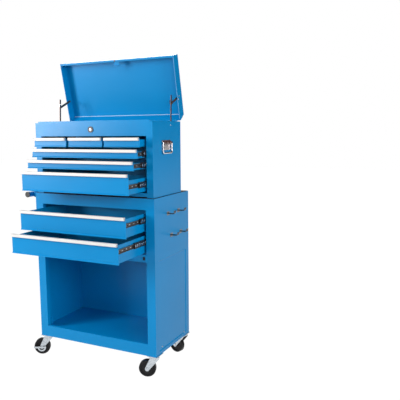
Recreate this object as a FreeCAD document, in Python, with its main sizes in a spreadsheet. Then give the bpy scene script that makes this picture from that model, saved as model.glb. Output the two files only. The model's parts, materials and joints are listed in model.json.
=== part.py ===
import FreeCAD
import Part
import Sketcher
import math
import os
import re

# A steel tool chest: a lidded top chest of six drawers that stands on a rolling cabinet.
# Millimetres. X runs across the front, Y from the front to the back, Z up from the floor.
# The pieces are drawn from the cabinet's front line at Y = 0, and then moved so that the
# origin lies on the floor under the middle of the whole object's box.

SIZES = {
    # Sheet steel
    "sheet": 1.2,
    "running_gap": 0.3,
    "pin_fit": 0.05,
    # Cabinet body
    "cabinet_width": 616.0,
    "cabinet_depth": 330.0,
    "cabinet_height": 678.0,
    "cabinet_post": 40.0,
    "post_return": 22.0,
    "rail_fold": 15.0,
    "apron_height": 51.5,
    "floor_rise": 38.0,
    "drawer_stack": 269.0,
    "mid_rail_height": 33.0,
    "top_rail_height": 48.0,
    "end_tab_width": 20.0,
    "tray_depth": 2.0,
    "mat_thickness": 3.0,
    "mat_margin": 4.0,
    "lug_place": 68.0,
    "lug_width": 16.0,
    "lug_height": 33.0,
    "lug_inset": 6.0,
    "channel_width": 42.0,
    # Pressed field on each cabinet side
    "field_inset": 29.0,
    "field_low": 14.0,
    "field_high": 412.0,
    "field_depth": 2.5,
    "field_border": 4.0,
    # Casters
    "caster_height": 98.0,
    "wheel_radius": 37.5,
    "wheel_width": 25.0,
    "rim_radius": 27.9,
    "rim_slope": 1.2,
    "hub_recess": 3.6,
    "hub_slope": 1.2,
    "shoulder_reach": 2.4,
    "shoulder_drop": 3.6,
    "caster_inset_side": 21.0,
    "caster_inset_end": 29.0,
    "caster_plate_across": 48.0,
    "caster_plate_along": 62.0,
    "caster_plate_thickness": 2.5,
    "caster_trail": 34.0,
    "race_radius": 20.0,
    "race_height": 4.0,
    "kingpin_radius": 4.0,
    "kingpin_head": 7.0,
    "fork_plate": 2.5,
    "fork_space": 30.0,
    "fork_half_length": 19.0,
    "fork_shoulder": 6.0,
    "fork_flare": 3.0,
    "fork_toe": 8.5,
    "fork_heel": 7.6,
    "fork_toe_rise": 4.8,
    "axle_radius": 4.0,
    "axle_head": 6.5,
    "axle_head_height": 3.0,
    "axle_boss": 9.5,
    "front_left_turn": 27.0,
    "front_right_turn": 20.6,
    "rear_right_turn": -16.0,
    "rear_left_turn": 9.0,
    "brake_thickness": 2.0,
    "brake_inner": 13.0,
    "brake_outer": 20.0,
    "brake_pedal": 16.0,
    # Push handle
    "handle_tube_radius": 12.5,
    "handle_tube_wall": 1.5,
    "handle_reach": 50.0,
    "handle_drop": 11.0,
    "handle_front": 5.0,
    "handle_bracket_inset": 30.0,
    "handle_bracket": 3.0,
    "bracket_lip_across": 6.2,
    "bracket_lip_up": 10.0,
    "handle_foot": 28.0,
    "handle_foot_drop": 38.0,
    "cap_thickness": 4.0,
    "cap_rim": 0.6,
    # Wrench hooks
    "upper_hooks_place": 124.0,
    "upper_hooks_pitch": 101.0,
    "upper_hooks_drop": 76.0,
    "lower_hooks_place": 154.0,
    "lower_hooks_pitch": 93.0,
    "lower_hooks_drop": 174.5,
    "hook_reach": 35.0,
    "hook_strip": 3.5,
    "hook_strip_width": 4.0,
    "hook_bend": 8.0,
    "hook_tip": 6.0,
    "hook_spread": 12.0,
    "hook_plate": 24.0,
    "hook_plate_height": 16.0,
    # Top chest body
    "chest_inset": 8.0,
    "chest_depth": 260.0,
    "chest_setback": 10.0,
    "chest_height": 314.0,
    "chest_post": 30.0,
    "chest_floor_rise": 6.0,
    "chest_rail_low": 4.5,
    "chest_rail_high": 20.7,
    "till_rise": 257.0,
    "till_lip": 10.0,
    "front_panel_rise": 6.0,
    "front_panel_inset": 17.0,
    "front_panel_hem": 8.0,
    "till_mat_thickness": 2.0,
    "till_mat_margin": 2.4,
    "divider_start": 16.0,
    "runner_width": 14.0,
    # Drawer slides: inner rail, ball cage and outer rail share one gap beside the drawer
    "slide_gap": 12.0,
    "slide_sheet": 1.2,
    "outer_rail_height": 26.4,
    "inner_rail_height": 17.0,
    "inner_rail_reach": 6.0,
    "cage_inner": 1.5,
    "cage_reach": 8.4,
    "rail_setback": 2.5,
    "inner_rail_setback": 6.0,
    "tail_height": 12.0,
    "tail_fold": 12.0,
    "chest_slide_length": 232.0,
    "cabinet_slide_length": 288.0,
    "chest_cage_length": 110.0,
    "cabinet_cage_length": 140.0,
    "chest_cage_place": 17.5,
    "upper_cage_place": 37.0,
    "lower_cage_place": 19.0,
    # Drawers
    "front_side_gap": 3.0,
    "small_side_gap": 5.5,
    "small_gap": 8.0,
    "small_box_inset": 5.5,
    "chest_box_length": 240.0,
    "cabinet_box_length": 300.0,
    "box_sheet": 1.0,
    "box_rise": 2.0,
    "box_hem": 2.2,
    "box_hem_height": 6.0,
    "side_drop": 8.3,
    "lip_reach": 3.0,
    "lip_height": 2.5,
    "lip_fold": 8.0,
    "row_one_low": 210.0,
    "row_one_high": 249.0,
    "row_two_low": 165.0,
    "row_two_high": 201.5,
    "row_three_low": 119.0,
    "row_three_high": 155.5,
    "row_four_low": 25.0,
    "row_four_high": 108.7,
    "upper_drawer_low": 127.7,
    "upper_drawer_high": 212.4,
    "lower_drawer_low": 37.0,
    "lower_drawer_high": 120.4,
    "deep_side_drop": 24.7,
    "shallow_slide_rise": 18.0,
    "deep_slide_drop": 25.5,
    # How far each drawer stands open at rest
    "left_small_open": 52.0,
    "middle_small_open": 45.0,
    "right_small_open": 43.0,
    "row_two_open": 67.0,
    "row_three_open": 100.0,
    "row_four_open": 141.0,
    "upper_drawer_open": 153.0,
    "lower_drawer_open": 212.0,
    # Pulls
    "pull_reach": 11.0,
    "pull_height": 12.3,
    "pull_wall": 1.6,
    "pull_edge": 1.5,
    "pull_curl": 3.0,
    "pull_end_gap": 4.0,
    # Lid and its hinge
    "lid_length": 281.0,
    "lid_height": 42.0,
    "lid_skirt_drop": 2.5,
    "lid_return": 8.5,
    "lid_bevel": 18.0,
    "lid_bevel_low": 7.0,
    "lid_open": 77.0,
    "hinge_rise": 4.0,
    "knuckle_radius": 3.2,
    "hinge_pin": 1.8,
    "hinge_margin": 15.0,
    "hinge_leaf_height": 16.0,
    "strike_width": 24.0,
    "strike_place": 11.0,
    "strike_setback": 26.0,
    "strike_drop": 12.0,
    "strike_gap": 2.0,
    # Lid stays
    "stay_foot_back": 86.6,
    "stay_foot_drop": 22.4,
    "stay_elbow_back": 81.3,
    "stay_elbow_rise": 70.2,
    "stay_head_back": 6.7,
    "stay_head_rise": 102.0,
    "stay_tail": 33.0,
    "stay_width": 10.0,
    "stay_sheet": 1.5,
    "stay_inset": 2.3,
    "stay_boss": 4.5,
    # Carrying handles on the chest's sides
    "bail_place": 118.0,
    "bail_rise": 224.0,
    "bail_plate_width": 77.0,
    "bail_plate_low": 193.0,
    "bail_plate_high": 235.0,
    "bail_plate_thickness": 1.5,
    "bail_wire": 3.3,
    "bail_pivot": 3.0,
    "bail_half_width": 40.5,
    "bail_length": 43.0,
    "bail_stand": 8.0,
    "bail_ear": 3.0,
    "bail_ear_place": 31.0,
    "bail_ear_half": 6.0,
    "bail_corner": 9.0,
    # Lock
    "lock_rise": 283.0,
    "lock_flange": 13.0,
    "lock_flange_thickness": 3.0,
    "lock_body": 9.2,
    "lock_body_length": 20.0,
    "lock_core_radius": 6.5,
    "lock_core_proud": 0.6,
    "lock_cam": 22.0,
    "lock_cam_width": 10.0,
    "lock_cam_thickness": 2.0,
    "key_slot": 7.0,
    "key_slot_width": 1.6,
    "key_slot_depth": 3.0,
}

# Lengths that several pieces share, worked out from the sizes above
SHARED = {
    "cabinet_half": "cabinet_width / 2",
    "cabinet_inner": "cabinet_half - sheet",
    "cabinet_back": "cabinet_depth - sheet",
    "cabinet_line": "cabinet_half - cabinet_post",
    "floor_half": "cabinet_inner - field_depth",
    "cabinet_top": "caster_height + cabinet_height",
    "tray_top": "cabinet_top - tray_depth",
    "floor_top": "caster_height + floor_rise",
    "chest_base": "tray_top + mat_thickness",
    "chest_half": "cabinet_half - chest_inset",
    "chest_width": "2 * chest_half",
    "chest_inner": "chest_half - sheet",
    "chest_line": "chest_half - chest_post",
    "chest_front": "chest_setback",
    "chest_rear": "chest_setback + chest_depth",
    "chest_back": "chest_rear - sheet",
    "chest_top": "chest_base + chest_height",
    "till_top": "chest_base + till_rise",
    "till_under": "till_top - sheet",
    "hinge_back": "chest_rear",
    "hinge_level": "chest_top + hinge_rise",
    "small_front": "(2 * chest_line - 2 * small_side_gap - 2 * small_gap) / 3",
    "small_pitch": "small_front + small_gap",
    "caster_across": "cabinet_half - caster_inset_side",
    "race_low": "caster_height - caster_plate_thickness - race_height",
    "fork_top": "race_low - running_gap",
    "fork_under": "fork_top - fork_plate",
    "fork_half_width": "fork_space / 2 + fork_plate",
    "stack_base": "cabinet_top - drawer_stack",
    "handle_across": "cabinet_half + handle_reach",
    "handle_length": "cabinet_depth - 2 * handle_front",
    "handle_level": "cabinet_top - handle_drop",
    "cap_radius": "handle_tube_radius + cap_rim",
    "stay_layer": "chest_inner - stay_inset",
    "rear_wheel_middle": "cabinet_depth - caster_inset_end - caster_trail * sin(rear_right_turn)",
    "rear_wheel_edge": "rear_wheel_middle - wheel_radius * sin(rear_right_turn)"
                       " + wheel_width / 2 * cos(rear_right_turn)",
    "left_edge": "handle_across + cap_radius",
    "right_edge": "cabinet_half + hook_reach",
    "front_edge": "lower_drawer_open + pull_reach",
    "frame_x": "(left_edge - right_edge) / 2",
    "frame_y": "(front_edge - rear_wheel_edge) / 2",
}

WORD = re.compile("[a-z][a-z_]*")
AXIS_TURNS = {
    "x": FreeCAD.Rotation(FreeCAD.Vector(0, 1, 0), 90),
    "y": FreeCAD.Rotation(FreeCAD.Vector(1, 0, 0), -90),
    "z": FreeCAD.Rotation(),
}
SIDES = {"right": 1, "left": -1}

doc = FreeCAD.newDocument("ToolChest")
nodes = []


# The sheet of driving sizes
def write_sheet():
    sheet = doc.addObject("Spreadsheet::Sheet", "Sizes")
    for row, (alias, value) in enumerate(SIZES.items(), start=1):
        sheet.set("A%d" % row, alias)
        sheet.set("B%d" % row, str(value))
        sheet.setAlias("B%d" % row, alias)
    doc.recompute()


# Formulas: a word is a cell of the sheet or a shared length
def spelled(found):
    word = found.group()
    if word in SHARED:
        return "(" + bind(SHARED[word]) + ")"
    if word in SIZES:
        return "Sizes." + word
    return word


def bind(formula):
    return WORD.sub(spelled, formula)


def tie(item, **formulas):
    for name, formula in formulas.items():
        item.setExpression(name, bind(formula))


def put(item, place, turn=None):
    if turn:
        item.Placement = FreeCAD.Placement(FreeCAD.Vector(), turn)
    for axis, formula in zip("xyz", place):
        item.setExpression("Placement.Base." + axis, bind(formula))


def flank(side, inner, outer):
    # The span from inner to outer on the right, or its mirror image on the left
    if side > 0:
        return (inner, outer)
    return ("-(%s)" % outer, "-(%s)" % inner)


# Simple solids
def box(name, across, along, up):
    item = doc.addObject("Part::Box", name)
    lengths = ["%s - (%s)" % (high, low) for low, high in (across, along, up)]
    tie(item, Length=lengths[0], Width=lengths[1], Height=lengths[2])
    put(item, (across[0], along[0], up[0]))
    return item


def cylinder(name, axis, start, radius, length):
    item = doc.addObject("Part::Cylinder", name)
    tie(item, Radius=radius, Height=length)
    put(item, start, AXIS_TURNS[axis])
    return item


def frustum(name, side, face, depth, low, high):
    # A pressed field: its wide face lies on the sheet and its narrow face is let in
    item = doc.addObject("Part::Wedge", name)
    tie(item, Ymin="0", Ymax=depth)
    rear = "cabinet_depth - field_inset"
    if side > 0:
        span = ("field_inset", rear)
        turn = FreeCAD.Rotation(FreeCAD.Vector(0, 0, 1), 90)
    else:
        span = ("-(%s)" % rear, "-field_inset")
        turn = FreeCAD.Rotation(FreeCAD.Vector(0, 0, 1), -90)
    tie(item, Xmin=span[0], Xmax=span[1], Zmin=low, Zmax=high)
    tie(item, X2min=span[0] + " + field_border", X2max=span[1] + " - field_border")
    tie(item, Z2min=low + " + field_border", Z2max=high + " - field_border")
    put(item, (face, "0", "0"), turn)
    return item


def fuse(name, pieces):
    item = doc.addObject("Part::MultiFuse", name)
    item.Shapes = pieces
    return item


def cut(name, base, tool):
    item = doc.addObject("Part::Cut", name)
    item.Base = base
    item.Tool = tool
    return item


def group(name, pieces):
    item = doc.addObject("Part::Compound", name)
    item.Links = pieces
    return item


# Sketched solids
def new_body(name):
    return doc.addObject("PartDesign::Body", name)


def new_sketch(body, name, plane, start):
    sketch = body.newObject("Sketcher::SketchObject", name)
    role = plane + "_Plane"
    support = [part for part in body.Origin.OriginFeatures if part.Role == role][0]
    sketch.AttachmentSupport = [(support, "")]
    sketch.MapMode = "FlatFace"
    sign = "-" if plane == "XZ" else ""
    sketch.setExpression("AttachmentOffset.Base.z", bind("%s(%s)" % (sign, start)))
    return sketch


def pin_down(sketch, piece, corner, spot, formulas):
    # Ties one corner of a sketch to its two formulas
    for kind, value, formula in zip(("DistanceX", "DistanceY"), spot, formulas):
        number = sketch.addConstraint(Sketcher.Constraint(kind, -1, 1, piece, corner, value))
        sketch.setExpression("Constraints[%d]" % number, bind(formula))


def outline(body, name, plane, start, corners):
    sketch = new_sketch(body, name, plane, start)
    count = len(corners)
    turns = [2 * math.pi * index / count for index in range(count)]
    spots = [(100 * math.cos(turn), 100 * math.sin(turn)) for turn in turns]
    ends = [FreeCAD.Vector(x, y, 0) for x, y in spots]
    lines = [Part.LineSegment(ends[index], ends[(index + 1) % count]) for index in range(count)]
    sketch.addGeometry(lines, False)
    for index in range(count):
        sketch.addConstraint(Sketcher.Constraint("Coincident", index, 2, (index + 1) % count, 1))
    for index, formulas in enumerate(corners):
        pin_down(sketch, index, 1, spots[index], formulas)
    return sketch


def ring(body, name, plane, start, centre, radius):
    sketch = new_sketch(body, name, plane, start)
    circle = Part.Circle(FreeCAD.Vector(1, 1, 0), FreeCAD.Vector(0, 0, 1), 5)
    sketch.addGeometry(circle, False)
    pin_down(sketch, 0, 3, (1, 1), centre)
    number = sketch.addConstraint(Sketcher.Constraint("Radius", 0, 5))
    sketch.setExpression("Constraints[%d]" % number, bind(radius))
    return sketch


def pad(body, sketch, length, middle=False):
    # Pads towards +X, +Y or +Z, or to both sides of the sketch
    feature = body.newObject("PartDesign::Pad", sketch.Name + "_pad")
    feature.Profile = sketch
    feature.Reversed = "XZ_Plane" in sketch.AttachmentSupport[0][0].Role and not middle
    feature.Midplane = middle
    tie(feature, Length=length)
    return feature


def pocket(body, sketch, length, middle=False):
    # Cuts towards +X, +Y or +Z, or to both sides of the sketch
    feature = body.newObject("PartDesign::Pocket", sketch.Name + "_pocket")
    feature.Profile = sketch
    feature.Reversed = "XZ_Plane" not in sketch.AttachmentSupport[0][0].Role and not middle
    feature.Midplane = middle
    tie(feature, Length=length)
    return feature


def prism(name, plane, corners, start, length, middle=False):
    body = new_body(name)
    pad(body, outline(body, name + "_outline", plane, start, corners), length, middle)
    return body


# A finished sub-part, moved into the object's own frame
def node(item, name, place=("0", "0", "0"), turn=None):
    item.Label = name
    moved = ("frame_x + " + place[0], "frame_y + " + place[1], place[2])
    put(item, moved, turn)
    nodes.append(item)
    return item


# Cabinet and chest casings: walls, back and the folded front posts as one bent profile
def casing_profile(half, line, front, rear):
    fold = front + " + post_return"
    right = [
        (half, rear),
        (half, front),
        (line, front),
        (line, fold),
        (line + " + sheet", fold),
        (line + " + sheet", front + " + sheet"),
        (half + " - sheet", front + " + sheet"),
        (half + " - sheet", rear + " - sheet"),
    ]
    left = [("-(%s)" % across, along) for across, along in reversed(right)]
    return right + left


def cabinet_shell():
    profile = casing_profile("cabinet_half", "cabinet_line", "0", "cabinet_depth")
    walls = prism("cabinet_walls", "XY", profile, "caster_height", "cabinet_height")
    inside = ("-(cabinet_inner)", "cabinet_inner")
    seat = box("tray_seat", inside, ("sheet", "cabinet_back"), ("tray_top - sheet", "cabinet_top"))
    shell = cut("cabinet_walls_cut", walls, seat)
    low = "caster_height + field_low"
    high = "caster_height + field_high"
    for name, side in SIDES.items():
        face = "%d * cabinet_half" % side
        lump_face = "%d * cabinet_inner" % side
        lump = frustum(name + "_field_back", side, lump_face, "field_depth", low, high)
        hollow = frustum(name + "_field", side, face, "field_depth", low, high)
        shell = fuse(name + "_field_wall", [shell, lump])
        shell = cut(name + "_side_wall", shell, hollow)
    node(shell, "cabinet_shell")


def front_channel(name, line, front, low, high, upper_flange=True):
    # A rail folded back along its lower edge and, except under the tray, along its upper edge
    fold = front + " + rail_fold"
    inner = front + " + sheet"
    corners = [(front, low), (front, high)]
    if upper_flange:
        corners += [(fold, high), (fold, high + " - sheet"), (inner, high + " - sheet")]
    else:
        corners += [(inner, high)]
    corners += [(inner, low + " + sheet"), (fold, low + " + sheet"), (fold, low)]
    return prism(name, "YZ", corners, "0", "2 * (%s)" % line, middle=True)


def cabinet_front_rails():
    line = "cabinet_line"
    apron = front_channel(
        "apron", line, "0", "caster_height", "caster_height + apron_height"
    )
    middle_high = "stack_base + mid_rail_height"
    middle = front_channel("middle_rail", line, "0", "stack_base", middle_high)
    top = front_channel(
        "top_rail", line, "0", "cabinet_top - top_rail_height", "cabinet_top", upper_flange=False
    )
    tab_span = ("cabinet_line - end_tab_width", "cabinet_line")
    tab = box("middle_rail_tab", tab_span, ("-sheet", "0"), ("stack_base", middle_high))
    middle = fuse("middle_rail_with_tab", [middle, tab])
    node(group("cabinet_front_rails", [apron, middle, top]), "cabinet_front_rails")


def cabinet_floor():
    corners = [
        ("-(floor_half)", "cabinet_back"),
        ("floor_half", "cabinet_back"),
        ("floor_half", "post_return"),
        ("cabinet_line", "post_return"),
        ("cabinet_line", "sheet"),
        ("-(cabinet_line)", "sheet"),
        ("-(cabinet_line)", "post_return"),
        ("-(floor_half)", "post_return"),
    ]
    pieces = [prism("floor_sheet", "XY", corners, "floor_top - sheet", "sheet")]
    starts = {"front": "post_return", "rear": "cabinet_back - channel_width"}
    for name, start in starts.items():
        end = start + " + channel_width"
        under = "caster_height"
        over = "floor_top - sheet"
        channel = [
            (start, over),
            (start, under),
            (end, under),
            (end, over),
            (end + " - sheet", over),
            (end + " - sheet", under + " + sheet"),
            (start + " + sheet", under + " + sheet"),
            (start + " + sheet", over),
        ]
        length = "2 * floor_half"
        pieces.append(prism(name + "_channel", "YZ", channel, "0", length, middle=True))
    lug_across = ("-(cabinet_inner) + lug_inset - sheet", "-(cabinet_inner) + lug_inset")
    lug_along = ("lug_place - lug_width / 2", "lug_place + lug_width / 2")
    pieces.append(box("floor_lug", lug_across, lug_along, ("floor_top - sheet", "floor_top + lug_height")))
    node(fuse("cabinet_floor", pieces), "cabinet_floor")


def cabinet_top():
    across = ("-(cabinet_inner)", "cabinet_inner")
    tray = box("tray_sheet", across, ("sheet", "cabinet_back"), ("tray_top - sheet", "tray_top"))
    node(group("cabinet_tray", [tray]), "cabinet_top_tray")
    across = ("-(cabinet_inner) + mat_margin", "cabinet_inner - mat_margin")
    along = ("sheet + mat_margin", "cabinet_back - mat_margin")
    mat = box("tray_mat_sheet", across, along, ("tray_top", "chest_base"))
    node(group("tray_mat", [mat]), "cabinet_top_mat")


# Ball-bearing slides
def slide_profile(side, near, far, level, height, wall, web_outside):
    # A channel on its side: its web stands at the far face, or at the near face for the inner rail
    half = "(%s) / 2" % height
    top = "%s + %s" % (level, half)
    bottom = "%s - %s" % (level, half)
    if web_outside:
        tip, back, web = near, far, far + " - slide_sheet"
    else:
        tip, back, web = far, near, near + " + slide_sheet"
    corners = [
        (tip, top),
        (back, top),
        (back, bottom),
        (tip, bottom),
        (tip, "%s + (%s)" % (bottom, wall)),
        (web, "%s + (%s)" % (bottom, wall)),
        (web, "%s - (%s)" % (top, wall)),
        (tip, "%s - (%s)" % (top, wall)),
    ]
    return [("%d * (%s)" % (side, across), up) for across, up in corners]


def outer_rail(name, side, line, front, back, level, length):
    # The fixed rail, screwed to the post and held at the back wall by a folded tail
    near = "%s - slide_gap + cage_inner + running_gap" % line
    corners = slide_profile(side, near, line, level, "outer_rail_height", "slide_sheet", True)
    start = front + " + rail_setback"
    rail = prism(name, "XZ", corners, start, length)
    end = "%s + %s" % (start, length)
    tail_up = (level + " - tail_height / 2", level + " + tail_height / 2")
    web = flank(side, line + " - slide_sheet", line)
    tail = box(name + "_tail", web, (end, back), tail_up)
    fold = flank(side, line, line + " + tail_fold")
    foot = box(name + "_foot", fold, (back + " - slide_sheet", back), tail_up)
    return fuse(name + "_whole", [rail, tail, foot])


def inner_rail(name, side, line, front, level, length):
    near = line + " - slide_gap"
    far = near + " + inner_rail_reach"
    corners = slide_profile(side, near, far, level, "inner_rail_height", "slide_sheet", False)
    return prism(name, "XZ", corners, front + " + inner_rail_setback", length)


def cage(name, side, line, front, level, place, length):
    # The ball retainer fills the height between the two rails but for a running gap
    near = line + " - slide_gap + cage_inner"
    far = line + " - slide_gap + cage_reach"
    height = "outer_rail_height - 2 * slide_sheet - 2 * running_gap"
    wall = "(%s - inner_rail_height) / 2 - running_gap" % height
    corners = slide_profile(side, near, far, level, height, wall, True)
    return prism(name, "XZ", corners, "%s + %s" % (front, place), length)


# Every wide drawer: its row, its opening and its slide
WIDE_DRAWERS = [
    {"name": "chest_row_2", "place": "chest", "low": "row_two_low", "high": "row_two_high",
     "side": "side_drop", "slide": "row_two_low + shallow_slide_rise", "open": "row_two_open",
     "cage": "chest_cage_place"},
    {"name": "chest_row_3", "place": "chest", "low": "row_three_low", "high": "row_three_high",
     "side": "side_drop", "slide": "row_three_low + shallow_slide_rise", "open": "row_three_open",
     "cage": "chest_cage_place"},
    {"name": "chest_row_4", "place": "chest", "low": "row_four_low", "high": "row_four_high",
     "side": "deep_side_drop", "slide": "row_four_high - deep_side_drop - deep_slide_drop",
     "open": "row_four_open", "cage": "chest_cage_place"},
    {"name": "cabinet_upper", "place": "cabinet", "low": "upper_drawer_low",
     "high": "upper_drawer_high", "side": "side_drop",
     "slide": "upper_drawer_high - side_drop - deep_slide_drop", "open": "upper_drawer_open",
     "cage": "upper_cage_place"},
    {"name": "cabinet_lower", "place": "cabinet", "low": "lower_drawer_low",
     "high": "lower_drawer_high", "side": "side_drop",
     "slide": "lower_drawer_high - side_drop - deep_slide_drop", "open": "lower_drawer_open",
     "cage": "lower_cage_place"},
]

SMALL_DRAWERS = [
    {"name": "chest_small_left", "middle": "-(small_pitch)", "open": "left_small_open"},
    {"name": "chest_small_middle", "middle": "0", "open": "middle_small_open"},
    {"name": "chest_small_right", "middle": "small_pitch", "open": "right_small_open"},
]

# Where each casing's drawers hang: post line, front, back wall, base and lengths
HOUSINGS = {
    "chest": {"line": "chest_line", "front": "chest_front", "back": "chest_back",
              "base": "chest_base", "slide": "chest_slide_length", "cage": "chest_cage_length",
              "box": "chest_box_length"},
    "cabinet": {"line": "cabinet_line", "front": "0", "back": "cabinet_back",
                "base": "stack_base", "slide": "cabinet_slide_length",
                "cage": "cabinet_cage_length", "box": "cabinet_box_length"},
}


def drawer_box(name, front, middle, front_half, box_half, low, high, side_top, length):
    # A folded tray with a hemmed rim, and the front plate with its rolled lower lip
    body = new_body(name)
    floor = low + " + box_rise"
    start = front + " + sheet"
    end = front + " + " + length

    def plan(inset):
        left = "%s - (%s) + %s" % (middle, box_half, inset)
        right = "%s + %s - %s" % (middle, box_half, inset)
        near = "%s + %s" % (start, inset)
        far = "%s - %s" % (end, inset)
        return [(left, near), (right, near), (right, far), (left, far)]

    block = outline(body, name + "_tray", "XY", floor, plan("0"))
    pad(body, block, "%s - (%s)" % (side_top, floor))
    inside = outline(body, name + "_inside", "XY", floor + " + box_sheet", plan("box_sheet"))
    pocket(body, inside, "%s - box_hem_height - (%s) - box_sheet" % (side_top, floor))
    mouth = outline(body, name + "_mouth", "XY", floor + " + box_sheet", plan("box_hem"))
    pocket(body, mouth, "%s - (%s)" % (side_top, floor))
    plate_top = high + " - pull_wall"
    inner = front + " + sheet"
    fold = front + " + lip_fold"
    lip = front + " - lip_reach"
    corners = [
        (lip, low),
        (lip, low + " + lip_height"),
        (front, low + " + lip_height + lip_reach"),
        (front, plate_top),
        (inner, plate_top),
        (inner, low + " + sheet"),
        (fold, low + " + sheet"),
        (fold, low),
    ]
    plate = outline(body, name + "_plate", "YZ", middle, corners)
    pad(body, plate, "2 * (%s)" % front_half, middle=True)
    return body


def drawer_pull(name, front, middle, front_half, high):
    # An extruded grip: a flange on the drawer front, a ledge and a curled nose
    nose = front + " - pull_reach"
    inner = nose + " + pull_wall"
    foot = high + " - pull_height"
    under = high + " - pull_wall"
    corners = [
        (front + " + sheet", high),
        (nose + " + pull_edge", high),
        (nose, high + " - pull_edge"),
        (nose, foot + " + pull_edge"),
        (nose + " + pull_edge", foot),
        (nose + " + pull_curl", foot),
        (nose + " + pull_curl", foot + " + pull_wall"),
        (inner, foot + " + pull_wall"),
        (inner, under),
        (front + " - pull_wall", under),
        (front + " - pull_wall", foot),
        (front, foot),
        (front, under),
        (front + " + sheet", under),
    ]
    length = "2 * (%s - pull_end_gap)" % front_half
    return prism(name, "YZ", corners, middle, length, middle=True)


def wide_drawers():
    for drawer in WIDE_DRAWERS:
        house = HOUSINGS[drawer["place"]]
        name = drawer["name"]
        line, front, base = house["line"], house["front"], house["base"]
        low = "%s + %s" % (base, drawer["low"])
        high = "%s + %s" % (base, drawer["high"])
        side_top = "%s - %s" % (high, drawer["side"])
        level = "%s + %s" % (base, drawer["slide"])
        front_half = line + " - front_side_gap"
        box_half = line + " - slide_gap"
        tray = drawer_box(
            name + "_drawer", front, "0", front_half, box_half, low, high, side_top, house["box"]
        )
        pull = drawer_pull(name + "_pull", front, "0", front_half, high)
        rails = []
        cages = []
        for hand, side in SIDES.items():
            rails.append(inner_rail(
                "%s_%s_inner_rail" % (name, hand), side, line, front, level, house["slide"]
            ))
            cages.append(cage(
                "%s_%s_cage" % (name, hand), side, line, front, level, drawer["cage"], house["cage"]
            ))
        out = ("0", "-(%s)" % drawer["open"], "0")
        half_out = ("0", "-(%s) / 2" % drawer["open"], "0")
        node(tray, name + "_drawer", out)
        node(pull, name + "_pull", out)
        node(group(name + "_inner_rails", rails), name + "_inner_rails", out)
        node(group(name + "_ball_cages", cages), name + "_ball_cages", half_out)


def small_drawers():
    low = "chest_base + row_one_low"
    high = "chest_base + row_one_high"
    for drawer in SMALL_DRAWERS:
        name = drawer["name"]
        half = "small_front / 2"
        tray = drawer_box(
            name + "_drawer", "chest_front", drawer["middle"], half, half + " - small_box_inset",
            low, high, high + " - side_drop", "chest_box_length"
        )
        pull = drawer_pull(name + "_pull", "chest_front", drawer["middle"], half, high)
        out = ("0", "-(%s)" % drawer["open"], "0")
        node(tray, name + "_drawer", out)
        node(pull, name + "_pull", out)


def outer_rails(place):
    house = HOUSINGS[place]
    pieces = []
    for drawer in WIDE_DRAWERS:
        if drawer["place"] != place:
            continue
        level = "%s + %s" % (house["base"], drawer["slide"])
        for hand, side in SIDES.items():
            pieces.append(outer_rail(
                "%s_%s_outer_rail" % (drawer["name"], hand), side, house["line"], house["front"],
                house["back"], level, house["slide"]
            ))
    return pieces


def small_runner(hand, side):
    # The channel that carries the outer edge of a small drawer, tied to the back wall
    top = "chest_base + row_one_low + box_rise - running_gap"
    roof = "chest_base + row_one_high"
    tip = "chest_line - runner_width"
    corners = [
        (tip, top),
        (tip, top + " - sheet"),
        ("chest_line", top + " - sheet"),
        ("chest_line", roof),
        (tip + " + small_box_inset", roof),
        (tip + " + small_box_inset", roof + " - sheet"),
        ("chest_line - sheet", roof + " - sheet"),
        ("chest_line - sheet", top),
    ]
    mirrored = [("%d * (%s)" % (side, across), up) for across, up in corners]
    start = "chest_front + divider_start"
    return prism("runner_" + hand, "XZ", mirrored, start, "chest_back - (%s)" % start)


def chest_rails():
    pieces = outer_rails("chest")
    for hand, side in SIDES.items():
        pieces.append(small_runner(hand, side))
    node(group("chest_outer_rails", pieces), "chest_outer_rails")


def cabinet_rails():
    node(group("cabinet_outer_rails", outer_rails("cabinet")), "cabinet_outer_rails")


# Top chest
def chest_shell():
    profile = casing_profile("chest_half", "chest_line", "chest_front", "chest_rear")
    walls = prism("chest_walls", "XY", profile, "chest_base", "chest_height")
    across = ("-(chest_inner)", "chest_inner")
    along = ("chest_front + sheet", "chest_back")
    till = box("till_space", across, along, ("till_under", "chest_top + sheet"))
    walls = cut("chest_walls_cut", walls, till)
    corners = [
        ("-(chest_inner)", "chest_back"),
        ("chest_inner", "chest_back"),
        ("chest_inner", "chest_front + post_return"),
        ("chest_line", "chest_front + post_return"),
        ("chest_line", "chest_front + sheet"),
        ("-(chest_line)", "chest_front + sheet"),
        ("-(chest_line)", "chest_front + post_return"),
        ("-(chest_inner)", "chest_front + post_return"),
    ]
    floor = prism("chest_floor_sheet", "XY", corners, "chest_base + chest_floor_rise", "sheet")
    node(fuse("chest_shell", [walls, floor]), "chest_shell")


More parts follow.
